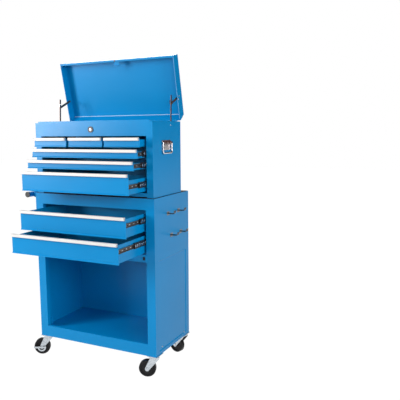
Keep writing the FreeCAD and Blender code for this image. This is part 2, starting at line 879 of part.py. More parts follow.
def chest_front_panels():
    # The lock panel rises above the posts, and a low rail closes the front under the drawers
    low = "till_under - sheet"
    high = "chest_top + front_panel_rise"
    inner = "chest_front + sheet"
    face = box(
        "lock_panel_face", ("-(chest_line)", "chest_line"), ("chest_front", inner), (low, high)
    )
    ear = "chest_half - front_panel_inset"
    ears = box("lock_panel_ears", ("-(%s)" % ear, ear), ("chest_front", inner), ("chest_top", high))
    span = ("-(chest_line)", "chest_line")
    flange = box(
        "lock_panel_flange", span, ("chest_front", "chest_front + rail_fold"), (low, low + " + sheet")
    )
    hem = box(
        "lock_panel_hem", ("-(%s)" % ear, ear), ("chest_front", "chest_front + front_panel_hem"),
        (high + " - sheet", high)
    )
    panel = fuse("lock_panel_sheet", [face, ears, flange, hem])
    slot_half = "(strike_width / 2 + strike_gap)"
    slot = box(
        "strike_slot", ("strike_place - " + slot_half, "strike_place + " + slot_half),
        (inner, "chest_front + 2 * front_panel_hem"), (high + " - 2 * sheet", high + " + sheet")
    )
    panel = cut("lock_panel_slotted", panel, slot)
    hole = cylinder(
        "lock_hole", "y", ("0", "chest_front - sheet", "chest_base + lock_rise"),
        "lock_body + pin_fit", "3 * sheet"
    )
    panel = cut("lock_panel", panel, hole)
    rail = front_channel(
        "chest_bottom_rail", "chest_line", "chest_front", "chest_base + chest_rail_low",
        "chest_base + chest_rail_high"
    )
    node(group("chest_front_panels", [panel, rail]), "chest_front_panels")


def chest_till():
    across = ("-(chest_inner)", "chest_inner")
    along = ("chest_front + sheet", "chest_back")
    sheet = box("till_sheet", across, along, ("till_under", "till_top"))
    lips = []
    for hand, side in SIDES.items():
        lip = flank(side, "chest_inner - sheet", "chest_inner")
        lips.append(box("till_lip_" + hand, lip, along, ("till_under", "till_top + till_lip")))
    node(fuse("chest_till_floor", [sheet] + lips), "chest_till_floor")
    margin = "till_mat_margin"
    across = ("-(chest_inner) + " + margin, "chest_inner - " + margin)
    along = ("chest_front + sheet + " + margin, "chest_back - " + margin)
    mat = box("till_mat_sheet", across, along, ("till_top", "till_top + till_mat_thickness"))
    node(group("till_mat", [mat]), "chest_till_mat")


def chest_dividers():
    # Each partition hangs from the till floor, and its folded foot carries two small drawers
    pieces = []
    top = "chest_base + row_one_low + box_rise - running_gap"
    foot = top + " - sheet"
    start = "chest_front + divider_start"
    for hand, side in SIDES.items():
        middle = "%d * small_pitch / 2" % side
        corners = [
            (middle + " - runner_width", foot),
            (middle + " + runner_width", foot),
            (middle + " + runner_width", top),
            (middle + " + sheet / 2", top),
            (middle + " + sheet / 2", "till_under"),
            (middle + " - sheet / 2", "till_under"),
            (middle + " - sheet / 2", top),
            (middle + " - runner_width", top),
        ]
        length = "chest_back - (%s)" % start
        pieces.append(prism("divider_" + hand, "XZ", corners, start, length))
    node(group("chest_dividers", pieces), "chest_dividers")


# Lid, in its own frame: the hinge axis is the origin and the closed lid reaches to -Y
KNUCKLES = 10


def knuckles(name, first):
    pieces = []
    pitch = "2 * (chest_half - hinge_margin) / %d" % KNUCKLES
    for index in range(first, KNUCKLES, 2):
        start = "-(chest_half) + hinge_margin + %d * %s" % (index, pitch)
        length = pitch + " - running_gap"
        pieces.append(cylinder(
            "%s_%d" % (name, index), "x", (start, "0", "0"), "knuckle_radius", length
        ))
    return pieces


def knuckle_leaves(name, first, along, up):
    pieces = []
    pitch = "2 * (chest_half - hinge_margin) / %d" % KNUCKLES
    for index in range(first, KNUCKLES, 2):
        start = "-(chest_half) + hinge_margin + %d * %s" % (index, pitch)
        end = "%s + %s - running_gap" % (start, pitch)
        pieces.append(box("%s_%d" % (name, index), (start, end), along, up))
    return pieces


def lid():
    body = new_body("lid_pan")
    front = "-lid_length"
    under = "-lid_skirt_drop"
    rear_clear = "knuckle_radius + 2 * running_gap"
    outer = [
        ("0", under),
        ("0", "lid_bevel_low"),
        ("-lid_bevel", "lid_height"),
        (front, "lid_height"),
        (front, under),
    ]
    inner_front = front + " + sheet"
    inner_top = "lid_height - sheet"
    lip = front + " + lid_return"
    below = under + " - sheet"
    inner = [
        ("-sheet", below),
        ("-sheet", "lid_bevel_low - sheet / 3"),
        ("-lid_bevel - sheet / 2", inner_top),
        (inner_front, inner_top),
        (inner_front, under + " + sheet"),
        (lip, under + " + sheet"),
        (lip, below),
    ]
    pad(body, outline(body, "lid_outside", "YZ", "0", outer), "chest_width", middle=True)
    hollow = outline(body, "lid_inside", "YZ", "0", inner)
    pocket(body, hollow, "2 * chest_inner", middle=True)
    span = ("-(chest_half) + hinge_margin - sheet", "chest_half - hinge_margin + sheet")
    gap = box("lid_hinge_gap", span, ("-2 * sheet", "sheet"), (below, rear_clear))
    pan = cut("lid_pan_cut", body, gap)
    leaves = knuckle_leaves("lid_leaf", 1, ("-sheet", "0"), ("0", "lid_bevel_low"))
    bores = cylinder(
        "lid_pin_space", "x", ("-(chest_half)", "0", "0"), "hinge_pin + pin_fit", "chest_width"
    )
    tubes = knuckles("lid_knuckle", 1)
    whole = fuse("lid_with_knuckles", [pan] + tubes + leaves)
    whole = cut("lid_bored", whole, bores)
    strike_across = ("strike_place - strike_width / 2", "strike_place + strike_width / 2")
    strike_back = front + " + strike_setback"
    strike_low = "front_panel_rise - hinge_rise + running_gap"
    strike_high = strike_low + " + sheet"
    ledge = box("strike_ledge", strike_across, (front, strike_back), (strike_low, strike_high))
    tongue = box(
        "strike_tongue", strike_across, (strike_back + " - sheet", strike_back),
        (strike_low + " - strike_drop", strike_high)
    )
    whole = fuse("lid", [whole, ledge, tongue])
    turn = FreeCAD.Rotation(FreeCAD.Vector(1, 0, 0), -SIZES["lid_open"])
    node(whole, "lid", ("0", "hinge_back", "hinge_level"), turn)
    whole.setExpression("Placement.Rotation.Angle", bind("-lid_open"))


def lid_hinge():
    # The fixed leaf lies on the chest's back, with its knuckles and the long pin
    leaf_top = "-hinge_rise"
    leaf_low = "-hinge_rise - hinge_leaf_height"
    span = ("-(chest_half) + hinge_margin", "chest_half - hinge_margin")
    plate = box("hinge_plate", span, ("0", "sheet"), (leaf_low, leaf_top))
    leaves = knuckle_leaves("hinge_leaf", 0, ("0", "sheet"), ("-hinge_rise - sheet", "0"))
    tubes = knuckles("hinge_knuckle", 0)
    pin_start = "-(chest_half) + hinge_margin - sheet"
    pin_length = "2 * (chest_half - hinge_margin + sheet)"
    pin = cylinder("hinge_rod", "x", (pin_start, "0", "0"), "hinge_pin", pin_length)
    whole = fuse("lid_hinge", [plate, pin] + leaves + tubes)
    node(whole, "lid_hinge", ("0", "hinge_back", "hinge_level"))


# Lid stays, measured from the hinge axis: two links a side, on layers that lie side by side
def link(name, side, start, end, near, boss_reach):
    # A flat bar between two points, rounded at both ends, with a boss towards the wall
    run = "sqrt((%s - (%s)) ^ 2 + (%s - (%s)) ^ 2)" % (end[0], start[0], end[1], start[1])
    rise = "atan2(%s - (%s); %s - (%s))" % (end[1], start[1], end[0], start[0])
    low = flank(side, near, near + " + stay_sheet")[0]
    bar = doc.addObject("Part::Box", name + "_bar")
    tie(bar, Length="stay_sheet", Width=run, Height="stay_width")
    bar.Placement = FreeCAD.Placement(FreeCAD.Vector(), FreeCAD.Rotation(FreeCAD.Vector(1, 0, 0), 10))
    bar.setExpression("Placement.Rotation.Angle", bind(rise))
    across = "stay_width / 2 * sin(%s)" % rise
    up = "stay_width / 2 * cos(%s)" % rise
    put(bar, (low, "%s + %s" % (start[0], across), "%s - %s" % (start[1], up)))
    pieces = [bar]
    for mark, point in (("foot", start), ("head", end)):
        pieces.append(cylinder(
            name + "_" + mark, "x", (low, point[0], point[1]), "stay_width / 2", "stay_sheet"
        ))
    boss = flank(side, near + " + stay_sheet", boss_reach)
    return pieces, boss


def stays():
    foot = ("-stay_foot_back", "-stay_foot_drop")
    elbow = ("-stay_elbow_back", "stay_elbow_rise")
    head = ("-stay_head_back", "stay_head_rise")
    lower_run = "sqrt((stay_foot_back - stay_elbow_back) ^ 2 + (stay_elbow_rise + stay_foot_drop) ^ 2)"
    tail = (
        "-stay_elbow_back + stay_tail * (stay_foot_back - stay_elbow_back) / %s" % lower_run,
        "stay_elbow_rise + stay_tail * (stay_elbow_rise + stay_foot_drop) / %s" % lower_run,
    )
    wall = "chest_inner - running_gap"
    lowers = []
    uppers = []
    for hand, side in SIDES.items():
        near = "stay_layer - stay_sheet"
        pieces, boss = link("lower_link_" + hand, side, foot, tail, near, wall)
        pieces.append(cylinder(
            "lower_boss_" + hand, "x", (boss[0], foot[0], foot[1]), "stay_boss",
            "%s - (%s)" % (boss[1], boss[0])
        ))
        lowers.append(fuse("lower_stay_" + hand, pieces))
        near = "stay_layer - 2 * stay_sheet - running_gap"
        pieces, boss = link("upper_link_" + hand, side, elbow, head, near, wall)
        pieces.append(cylinder(
            "upper_boss_" + hand, "x", (boss[0], head[0], head[1]), "stay_boss",
            "%s - (%s)" % (boss[1], boss[0])
        ))
        uppers.append(fuse("upper_stay_" + hand, pieces))
    at_hinge = ("0", "hinge_back", "hinge_level")
    node(group("stay_lower_links", lowers), "stay_lower_links", at_hinge)
    node(group("stay_upper_links", uppers), "stay_upper_links", at_hinge)


# Carrying handles
def side_handles():
    level = "chest_base + bail_rise"
    middle = "chest_front + bail_place"
    plates = []
    for hand, side in SIDES.items():
        face = "chest_half + bail_plate_thickness"
        plate = box(
            "bail_plate_" + hand, flank(side, "chest_half", face),
            (middle + " - bail_plate_width / 2", middle + " + bail_plate_width / 2"),
            ("chest_base + bail_plate_low", "chest_base + bail_plate_high")
        )
        pieces = [plate]
        out = "chest_half + bail_stand"
        for mark, hold in (("front", -1), ("rear", 1)):
            centre = "%s + %d * bail_ear_place" % (middle, hold)
            along = (centre + " - bail_ear / 2", centre + " + bail_ear / 2")
            up = (level + " - bail_ear_half", level + " + bail_ear_half")
            name = "bail_ear_%s_%s" % (hand, mark)
            pieces.append(box(name, flank(side, face, out), along, up))
            pieces.append(cylinder(
                name + "_round", "y", ("%d * (%s)" % (side, out), along[0], level),
                "bail_ear_half", "bail_ear"
            ))
        whole = fuse("bail_bracket_" + hand, pieces)
        bore = cylinder(
            "bail_bore_" + hand, "y",
            ("%d * (%s)" % (side, out), middle + " - bail_plate_width / 2", level),
            "bail_pivot + pin_fit", "bail_plate_width"
        )
        plates.append(cut("bail_plate_bored_" + hand, whole, bore))
    node(group("side_handle_plates", plates), "side_handle_plates")
    for hand, side in SIDES.items():
        x = "%d * (chest_half + bail_stand)" % side
        half = "bail_half_width"
        corner = "bail_corner"
        low = level + " - bail_length"
        pieces = []
        for mark, hold in (("front", -1), ("rear", 1)):
            name = "bail_%s_%s" % (hand, mark)
            leg = "%s + %d * %s" % (middle, hold, half)
            tip = "bail_ear_place - bail_ear"
            if hold > 0:
                pivot_start = "%s + %s" % (middle, tip)
            else:
                pivot_start = leg
            pieces.append(cylinder(
                name + "_pivot", "y", (x, pivot_start, level), "bail_pivot", "%s - (%s)" % (half, tip)
            ))
            pieces.append(cylinder(
                name + "_leg", "z", (x, leg, low + " + " + corner), "bail_wire",
                "bail_length + bail_wire - " + corner
            ))
            bend = doc.addObject("Part::Torus", name + "_bend")
            tie(bend, Radius1=corner, Radius2="bail_wire")
            bend.Angle3 = 90
            bend_along = "%s + %d * (%s - %s)" % (middle, hold, half, corner)
            put(bend, (x, bend_along, low + " + " + corner), bend_turn(hold))
            pieces.append(bend)
        pieces.append(cylinder(
            "bail_%s_grip" % hand, "y", (x, "%s - (%s - %s)" % (middle, half, corner), low),
            "bail_wire", "2 * (%s - %s)" % (half, corner)
        ))
        node(fuse("side_handle_" + hand, pieces), "side_handle_" + hand)


def bend_turn(hold):
    # Turns a quarter ring from the XY plane into the YZ plane, below its centre
    upright = FreeCAD.Rotation(FreeCAD.Vector(0, 1, 0), 90)
    quarter = FreeCAD.Rotation(FreeCAD.Vector(1, 0, 0), 0 if hold > 0 else -90)
    return quarter.multiply(upright)


# Lock
def lock():
    level = "chest_base + lock_rise"
    flange = cylinder(
        "lock_flange_disc", "y", ("0", "chest_front - lock_flange_thickness", level),
        "lock_flange", "lock_flange_thickness"
    )
    barrel = cylinder(
        "lock_tube", "y", ("0", "chest_front", level), "lock_body", "lock_body_length"
    )
    bore = cylinder(
        "lock_bore", "y", ("0", "chest_front - 2 * lock_flange_thickness", level),
        "lock_core_radius + pin_fit", "lock_body_length + 3 * lock_flange_thickness"
    )
    node(cut("lock_barrel", fuse("lock_case", [flange, barrel]), bore), "lock_barrel")
    start = "chest_front - lock_flange_thickness - lock_core_proud"
    length = "lock_flange_thickness + lock_core_proud + lock_body_length + running_gap"
    core = cylinder("lock_plug", "y", ("0", start, level), "lock_core_radius", length)
    slot = box(
        "key_slot_cut", ("-key_slot_width / 2", "key_slot_width / 2"),
        (start + " - sheet", start + " + key_slot_depth"),
        (level + " - key_slot / 2", level + " + key_slot / 2")
    )
    core = cut("lock_plug_cut", core, slot)
    cam = box(
        "lock_cam_plate", ("-lock_cam_width / 2", "lock_cam - lock_cam_width / 2"),
        ("chest_front + lock_body_length + running_gap",
         "chest_front + lock_body_length + running_gap + lock_cam_thickness"),
        (level + " - lock_cam_width / 2", level + " + lock_cam_width / 2")
    )
    node(fuse("lock_core", [core, cam]), "lock_core")


# Push handle
def push_handle():
    x = "-(handle_across)"
    tube = cylinder(
        "push_tube_outer", "y", (x, "handle_front", "handle_level"), "handle_tube_radius",
        "handle_length"
    )
    bore = cylinder(
        "push_tube_bore", "y", (x, "handle_front - sheet", "handle_level"),
        "handle_tube_radius - handle_tube_wall", "handle_length + 2 * sheet"
    )
    pieces = [tube]
    wall = "-(cabinet_half)"
    ends = {
        "front": "handle_front + handle_bracket_inset",
        "rear": "handle_front + handle_length - handle_bracket_inset",
    }
    for name, along in ends.items():
        corners = [
            (wall, "handle_level - handle_foot_drop + handle_drop + handle_bracket"),
            (wall, "cabinet_top - handle_bracket"),
            (x + " + bracket_lip_across", "handle_level + bracket_lip_up"),
            (x, "handle_level"),
            (x + " + bracket_lip_across", "handle_level - bracket_lip_up"),
        ]
        start = along + " - handle_bracket / 2"
        pieces.append(prism("push_bracket_" + name, "XZ", corners, start, "handle_bracket"))
        foot_along = (along + " - handle_foot / 2", along + " + handle_foot / 2")
        foot_up = ("handle_level + handle_drop - handle_foot_drop", "cabinet_top - handle_bracket")
        foot_across = (wall + " - handle_bracket / 2", wall)
        pieces.append(box("push_foot_" + name, foot_across, foot_along, foot_up))
    whole = cut("push_handle", fuse("push_frame", pieces), bore)
    node(whole, "push_handle")
    caps = []
    inner_radius = "handle_tube_radius - handle_tube_wall"
    spots = {"front": ("handle_front - cap_thickness", "handle_front"),
             "rear": ("handle_front + handle_length", "handle_front + handle_length - 2 * cap_thickness")}
    for name, (disc, plug) in spots.items():
        cap = cylinder("push_cap_" + name, "y", (x, disc, "handle_level"), "cap_radius", "cap_thickness")
        stem = cylinder(
            "push_stem_" + name, "y", (x, plug, "handle_level"), inner_radius, "2 * cap_thickness"
        )
        caps.append(fuse("push_plug_" + name, [cap, stem]))
    node(group("push_handle_caps", caps), "push_handle_caps")


# Wrench hooks, each a plate with two upturned prongs, at their places on the right side
HOOKS = {
    "upper_front": ("upper_hooks_place", "upper_hooks_drop"),
    "upper_rear": ("upper_hooks_place + upper_hooks_pitch", "upper_hooks_drop"),
    "lower_front": ("lower_hooks_place", "lower_hooks_drop"),
    "lower_rear": ("lower_hooks_place + lower_hooks_pitch", "lower_hooks_drop"),
}
BEND_STEPS = 4


def prong(name, middle, level):
    # A strip that runs out from the plate and turns up through a round bend
    half = "hook_strip / 2"
    turn_x = "cabinet_half + hook_reach - hook_strip / 2 - hook_bend"
    turn_z = level + " + hook_bend"
    outer = []
    inner = []
    for step in range(BEND_STEPS + 1):
        angle = step * 90 / BEND_STEPS
        for side, sign in ((outer, "+"), (inner, "-")):
            reach = "(hook_bend %s %s)" % (sign, half)
            side.append((
                "%s + %s * sin(%g)" % (turn_x, reach, angle),
                "%s - %s * cos(%g)" % (turn_z, reach, angle)
            ))
    outer_x = "%s + hook_bend + %s" % (turn_x, half)
    inner_x = "%s + hook_bend - %s" % (turn_x, half)
    tip = turn_z + " + hook_tip"
    corners = [("cabinet_half", "%s - %s" % (level, half))] + outer
    corners += [(outer_x, tip), (inner_x, tip)] + inner[::-1]
    corners += [("cabinet_half", "%s + %s" % (level, half))]
    start = "%s - hook_strip_width / 2" % middle
    return prism(name, "XZ", corners, start, "hook_strip_width")


def wrench_hooks():
    face = "cabinet_half"
    pieces = []
    for name, (middle, drop) in HOOKS.items():
        level = "cabinet_top - " + drop
        hook = [box(
            "hook_plate_" + name, (face, face + " + sheet"),
            (middle + " - hook_plate / 2", middle + " + hook_plate / 2"),
            (level + " - hook_plate_height / 2", level + " + hook_plate_height / 2")
        )]
        for mark, hold in (("front", -1), ("rear", 1)):
            along = "%s + %d * hook_spread / 2" % (middle, hold)
            hook.append(prong("hook_%s_%s" % (name, mark), along, level))
        pieces.append(fuse("hook_" + name, hook))
    node(group("wrench_hooks", pieces), "wrench_hooks")


# Casters: a plate with its race and kingpin, a fork and a wheel at each corner
CASTERS = {
    "front_left": {"across": "-(caster_across)", "along": "caster_inset_end", "turn": "front_left_turn"},
    "front_right": {"across": "caster_across", "along": "caster_inset_end", "turn": "front_right_turn"},
    "rear_left": {"across": "-(caster_across)", "along": "cabinet_depth - caster_inset_end",
                  "turn": "rear_left_turn"},
    "rear_right": {"across": "caster_across", "along": "cabinet_depth - caster_inset_end",
                   "turn": "rear_right_turn"},
}


def caster_plates():
    pieces = []
    for name, spot in CASTERS.items():
        x, y = spot["across"], spot["along"]
        plate_low = "caster_height - caster_plate_thickness"
        plate = box(
            "plate_" + name,
            (x + " - caster_plate_across / 2", x + " + caster_plate_across / 2"),
            (y + " - caster_plate_along / 2", y + " + caster_plate_along / 2"),
            (plate_low, "caster_height")
        )
        race = cylinder("race_" + name, "z", (x, y, "race_low"), "race_radius", "race_height")
        head_low = "fork_under - running_gap - fork_plate"
        pin = cylinder(
            "kingpin_" + name, "z", (x, y, head_low), "kingpin_radius", "race_low - (%s)" % head_low
        )
        head = cylinder("kingpin_head_" + name, "z", (x, y, head_low), "kingpin_head", "fork_plate")
        pieces.append(fuse("caster_mount_" + name, [plate, race, pin, head]))
    node(group("caster_plates", pieces), "caster_plates")


def caster_fork(name, spot):
    # Bent from one plate: two tapered legs under a bridge, drawn with the trail along +X
    body = new_body("fork_" + name)
    half = "fork_half_length"
    shoulder = "fork_top - fork_shoulder"
    legs = [
        ("-(%s)" % half, "fork_top"),
        (half, "fork_top"),
        (half + " + fork_flare", shoulder),
        ("caster_trail + fork_toe", "wheel_radius + fork_toe_rise"),
        ("caster_trail", "wheel_radius"),
        ("caster_trail - fork_heel", "wheel_radius - fork_toe_rise"),
        ("-(%s)" % half, shoulder),
    ]
    across = "2 * fork_half_width"
    pad(body, outline(body, "legs_" + name, "XZ", "0", legs), across, middle=True)
    end_ring = ring(body, "boss_" + name, "XZ", "0", ("caster_trail", "wheel_radius"), "axle_boss")
    pad(body, end_ring, across, middle=True)
    reach = "caster_trail + wheel_radius"
    space = [
        ("-(%s)" % reach, "0"),
        (reach, "0"),
        (reach, "fork_under"),
        ("-(%s)" % reach, "fork_under"),
    ]
    pocket(body, outline(body, "space_" + name, "XZ", "0", space), "fork_space", middle=True)
    swivel = ring(body, "swivel_" + name, "XY", "fork_under - sheet", ("0", "0"), "kingpin_radius + pin_fit")
    pocket(body, swivel, "fork_plate + 2 * sheet")
    end = "fork_half_width + axle_head_height"
    bolt = cylinder(
        "axle_" + name, "y", ("caster_trail", "-(%s)" % end, "wheel_radius"), "axle_radius",
        "2 * (%s)" % end
    )
    heads = [
        cylinder("axle_nut_" + name, "y", ("caster_trail", "fork_half_width", "wheel_radius"),
                 "axle_head", "axle_head_height"),
        cylinder("axle_cap_" + name, "y", ("caster_trail", "-(%s)" % end, "wheel_radius"),
                 "axle_head", "axle_head_height"),
    ]
    whole = fuse("caster_fork_" + name, [body, bolt] + heads)
    place_caster(whole, "caster_fork_" + name, spot)


def caster_wheel(name, spot):
    # A tyre with rounded shoulders on a dished hub, turned about its axle
    body = new_body("wheel_" + name)
    half = "wheel_width / 2"
    hub = "fork_space / 2 - running_gap"
    bore = "axle_radius + pin_fit"
    profile = [
        (bore, hub),
        ("axle_boss", hub),
        ("axle_boss + hub_slope", half + " - hub_recess"),
        ("rim_radius", half + " - hub_recess"),
        ("rim_radius + rim_slope", half),
        ("wheel_radius - shoulder_reach", half),
        ("wheel_radius", half + " - shoulder_drop"),
    ]
    mirrored = [(radius, "-(%s)" % along) for radius, along in reversed(profile)]
    sketch = outline(body, "wheel_profile_" + name, "XY", "0", profile + mirrored)
    turned = body.newObject("PartDesign::Revolution", "wheel_turned_" + name)
    turned.Profile = sketch
    turned.ReferenceAxis = (sketch, ["V_Axis"])
    turned.Angle = 360
    put(body, ("caster_trail", "0", "wheel_radius"))
    place_caster(group("caster_wheel_" + name, [body]), "caster_wheel_" + name, spot)


def place_caster(item, name, spot):
    trail_turn = FreeCAD.Rotation(FreeCAD.Vector(0, 0, 1), 180 + SIZES[spot["turn"]])
    node(item, name, (spot["across"], spot["along"], "0"), trail_turn)
    item.setExpression("Placement.Rotation.Angle", bind("180 + " + spot["turn"]))


def caster_brake():
    # A curved lever on the front left axle, between the fork's leg and the bolt's head
    start = "fork_half_width + axle_head_height + running_gap"
    centre = ("caster_trail", start, "wheel_radius")
    outer = cylinder("brake_rim", "y", centre, "brake_outer", "brake_thickness")
    inner = cylinder("brake_hollow", "y", centre, "brake_inner", "brake_thickness")
    band = cut("brake_band", outer, inner)
    upper = box(
        "brake_upper_cut",
        ("caster_trail - 2 * brake_outer", "caster_trail + 2 * brake_outer"),
        (start + " - sheet", start + " + brake_thickness + sheet"),
        ("wheel_radius + running_gap", "wheel_radius + 2 * brake_outer")
    )
    band = cut("brake_arc", band, upper)
    hub = cylinder("brake_hub", "y", centre, "axle_radius", "brake_thickness")
    arm = box(
        "brake_arm", ("caster_trail - brake_outer", "caster_trail + brake_outer"),
        (start, start + " + brake_thickness"),
        ("wheel_radius - axle_radius", "wheel_radius + axle_radius")
    )
    pedal = box(
        "brake_pedal_plate",
        ("caster_trail + brake_outer - brake_thickness", "caster_trail + brake_outer + brake_pedal"),
        (start, start + " + 2 * brake_thickness"),
        ("wheel_radius - axle_radius", "wheel_radius + axle_radius")
    )
    whole = fuse("caster_brake", [band, hub, arm, pedal])
    place_caster(whole, "caster_brake", CASTERS["front_left"])


def casters():
    caster_plates()
    for name, spot in CASTERS.items():
        caster_fork(name, spot)
        caster_wheel(name, spot)
    caster_brake()


# Checks before anything is written
def check_document():
    for item in doc.Objects:
        if "Invalid" in item.State or "Error" in item.State:
            raise RuntimeError("%s failed: %s" % (item.Label, item.State))
    for item in nodes:
        if item.Shape.isNull() or not item.Shape.isValid():
            raise RuntimeError("%s has no valid shape" % item.Label)


def export_parts():
    os.makedirs("parts", exist_ok=True)
    for item in nodes:
        item.Shape.exportStep(os.path.join("parts", item.Label + ".step"))


def main():
    write_sheet()
    cabinet_shell()
    cabinet_front_rails()
    cabinet_floor()
    cabinet_top()
    cabinet_rails()
    push_handle()
    wrench_hooks()
    casters()
    chest_shell()
    chest_front_panels()
    chest_till()
    chest_dividers()
    chest_rails()
    lock()
    side_handles()
    lid()
    lid_hinge()
    stays()
    small_drawers()
    wide_drawers()
    doc.recompute()
    check_document()
    export_parts()
    print(len(nodes), "sub-parts")


main()
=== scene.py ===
import bpy
import bmesh
import json
import math
from mathutils import Matrix, Vector

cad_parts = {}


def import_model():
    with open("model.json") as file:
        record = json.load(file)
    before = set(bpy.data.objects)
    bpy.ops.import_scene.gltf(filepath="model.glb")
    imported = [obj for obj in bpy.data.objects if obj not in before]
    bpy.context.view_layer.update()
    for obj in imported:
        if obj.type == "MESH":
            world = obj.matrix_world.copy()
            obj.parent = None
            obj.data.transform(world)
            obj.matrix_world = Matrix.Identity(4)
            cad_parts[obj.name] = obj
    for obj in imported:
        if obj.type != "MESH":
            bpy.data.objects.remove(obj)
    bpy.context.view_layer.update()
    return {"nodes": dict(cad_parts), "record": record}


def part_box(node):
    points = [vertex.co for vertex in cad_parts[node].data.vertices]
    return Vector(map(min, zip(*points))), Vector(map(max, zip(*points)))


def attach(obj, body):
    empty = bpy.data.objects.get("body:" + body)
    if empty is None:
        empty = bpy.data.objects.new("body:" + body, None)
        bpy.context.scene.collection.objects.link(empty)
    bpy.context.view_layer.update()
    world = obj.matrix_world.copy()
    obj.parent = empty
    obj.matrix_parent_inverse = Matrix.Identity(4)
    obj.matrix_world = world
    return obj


# The looks of a steel tool chest: a lidded top chest of drawers on a rolling cabinet.
# Meshes are made in metres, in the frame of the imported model. Places that are given to spot()
# and lid_spot() are in millimetres.

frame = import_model()
NODES = frame["nodes"]
RECORD = frame["record"]

MM = 0.001
X, Y, Z = 0, 1, 2
ACROSS = Vector((1, 0, 0))
BACK = Vector((0, 1, 0))
UP = Vector((0, 0, 1))

CABINET_LOW, CABINET_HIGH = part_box("cabinet_shell")
CHEST_LOW, CHEST_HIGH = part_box("chest_shell")

# The cabinet's middle and front, from which spot() measures
MIDDLE_X = (CABINET_LOW[X] + CABINET_HIGH[X]) / 2
FRONT_Y = CABINET_LOW[Y]

# Half the width of each casing, in millimetres
CABINET_HALF = (CABINET_HIGH[X] - CABINET_LOW[X]) / 2 / MM
CHEST_HALF = (CHEST_HIGH[X] - CHEST_LOW[X]) / 2 / MM

# The lid's hinge line above the chest's back, in millimetres, and the lid's angle at rest
HINGE_RISE = 4
HINGE_Y = (CHEST_HIGH[Y] - FRONT_Y) / MM
HINGE_Z = CHEST_HIGH[Z] / MM + HINGE_RISE
LID_OPEN = math.radians(77)
LID_OUT = Vector((0, -math.cos(LID_OPEN), math.sin(LID_OPEN)))
LID_UP = Vector((0, math.sin(LID_OPEN), math.cos(LID_OPEN)))

# The wide drawers, on ball slides, and the small ones
WIDE = ["chest_row_2", "chest_row_3", "chest_row_4", "cabinet_upper", "cabinet_lower"]
SMALL = ["chest_small_left", "chest_small_middle", "chest_small_right"]
SIDES = {"right": 1, "left": -1}


def spot(x, y, z):
    # A point so far from the cabinet's middle and front and above the ground, in millimetres
    return Vector((MIDDLE_X + x * MM, FRONT_Y + y * MM, z * MM))


def lid_spot(x, out, up):
    # A point so far out and up from the hinge line, in the open lid's own directions
    return spot(x, HINGE_Y, HINGE_Z) + (LID_OUT * out + LID_UP * up) * MM


# Material helpers
def new_material(name):
    material = bpy.data.materials.new(name)
    material.use_nodes = True
    return material, material.node_tree, material.node_tree.nodes["Principled BSDF"]


def add(tree, kind, **settings):
    made = tree.nodes.new(kind)
    for key, value in settings.items():
        setattr(made, key, value)
    return made


def coordinates(tree, scale=(1, 1, 1)):
    source = add(tree, "ShaderNodeTexCoord")
    mapping = add(tree, "ShaderNodeMapping")
    mapping.inputs["Scale"].default_value = scale
    tree.links.new(source.outputs["Object"], mapping.inputs["Vector"])
    return mapping.outputs["Vector"]


def noise(tree, vector, scale, detail, roughness=0.5):
    made = add(tree, "ShaderNodeTexNoise")
    made.inputs["Scale"].default_value = scale
    made.inputs["Detail"].default_value = detail
    made.inputs["Roughness"].default_value = roughness
    tree.links.new(vector, made.inputs["Vector"])
    return made.outputs["Fac"]


def ramp(tree, value, stops):
    made = add(tree, "ShaderNodeValToRGB")
    points = made.color_ramp.elements
    while len(points) < len(stops):
        points.new(0.5)
    for point, (place, colour) in zip(points, stops):
        point.position = place
        point.color = (*colour, 1)
    tree.links.new(value, made.inputs["Fac"])
    return made.outputs["Color"]


def spread(tree, value, low, high):
    made = add(tree, "ShaderNodeMapRange")
    made.inputs["To Min"].default_value = low
    made.inputs["To Max"].default_value = high
    tree.links.new(value, made.inputs["Value"])
    return made.outputs["Result"]


def bump(tree, height, strength, distance, below=None):
    made = add(tree, "ShaderNodeBump")
    made.inputs["Strength"].default_value = strength
    made.inputs["Distance"].default_value = distance
    tree.links.new(height, made.inputs["Height"])
    if below:
        tree.links.new(below, made.inputs["Normal"])
    return made.outputs["Normal"]


# Materials
def paint(name, colour, shade):
    # Powder coat with the fine orange peel of sprayed paint
    material, tree, shader = new_material(name)
    vector = coordinates(tree)
    wide = noise(tree, vector, scale=3.0, detail=3.0)
    colours = ramp(tree, wide, [(0.3, shade), (0.7, colour)])
    tree.links.new(colours, shader.inputs["Base Color"])
    peel = noise(tree, vector, scale=900.0, detail=2.0)
    tree.links.new(bump(tree, peel, strength=0.12, distance=0.0004), shader.inputs["Normal"])
    patches = noise(tree, vector, scale=30.0, detail=4.0)
    tree.links.new(spread(tree, patches, low=0.27, high=0.36), shader.inputs["Roughness"])
    shader.inputs["Specular IOR Level"].default_value = 0.22
    return material


def brushed(name, colour, dark, rough, along, metallic, grain=1400.0):
    # Drawn or brushed metal, with its grain along one axis
    material, tree, shader = new_material(name)
    scale = [1.0, 1.0, 1.0]
    scale[along] = 0.02
    grained = noise(tree, coordinates(tree, scale), grain, detail=3.0, roughness=0.6)
    clouds = noise(tree, coordinates(tree), scale=25.0, detail=4.0)
    colours = ramp(tree, grained, [(0.25, dark), (0.75, colour)])
    tree.links.new(colours, shader.inputs["Base Color"])
    rougher = spread(tree, clouds, low=rough * 0.8, high=rough * 1.25)
    tree.links.new(rougher, shader.inputs["Roughness"])
    tree.links.new(bump(tree, grained, strength=0.15, distance=0.0002), shader.inputs["Normal"])
    shader.inputs["Metallic"].default_value = metallic
    return material


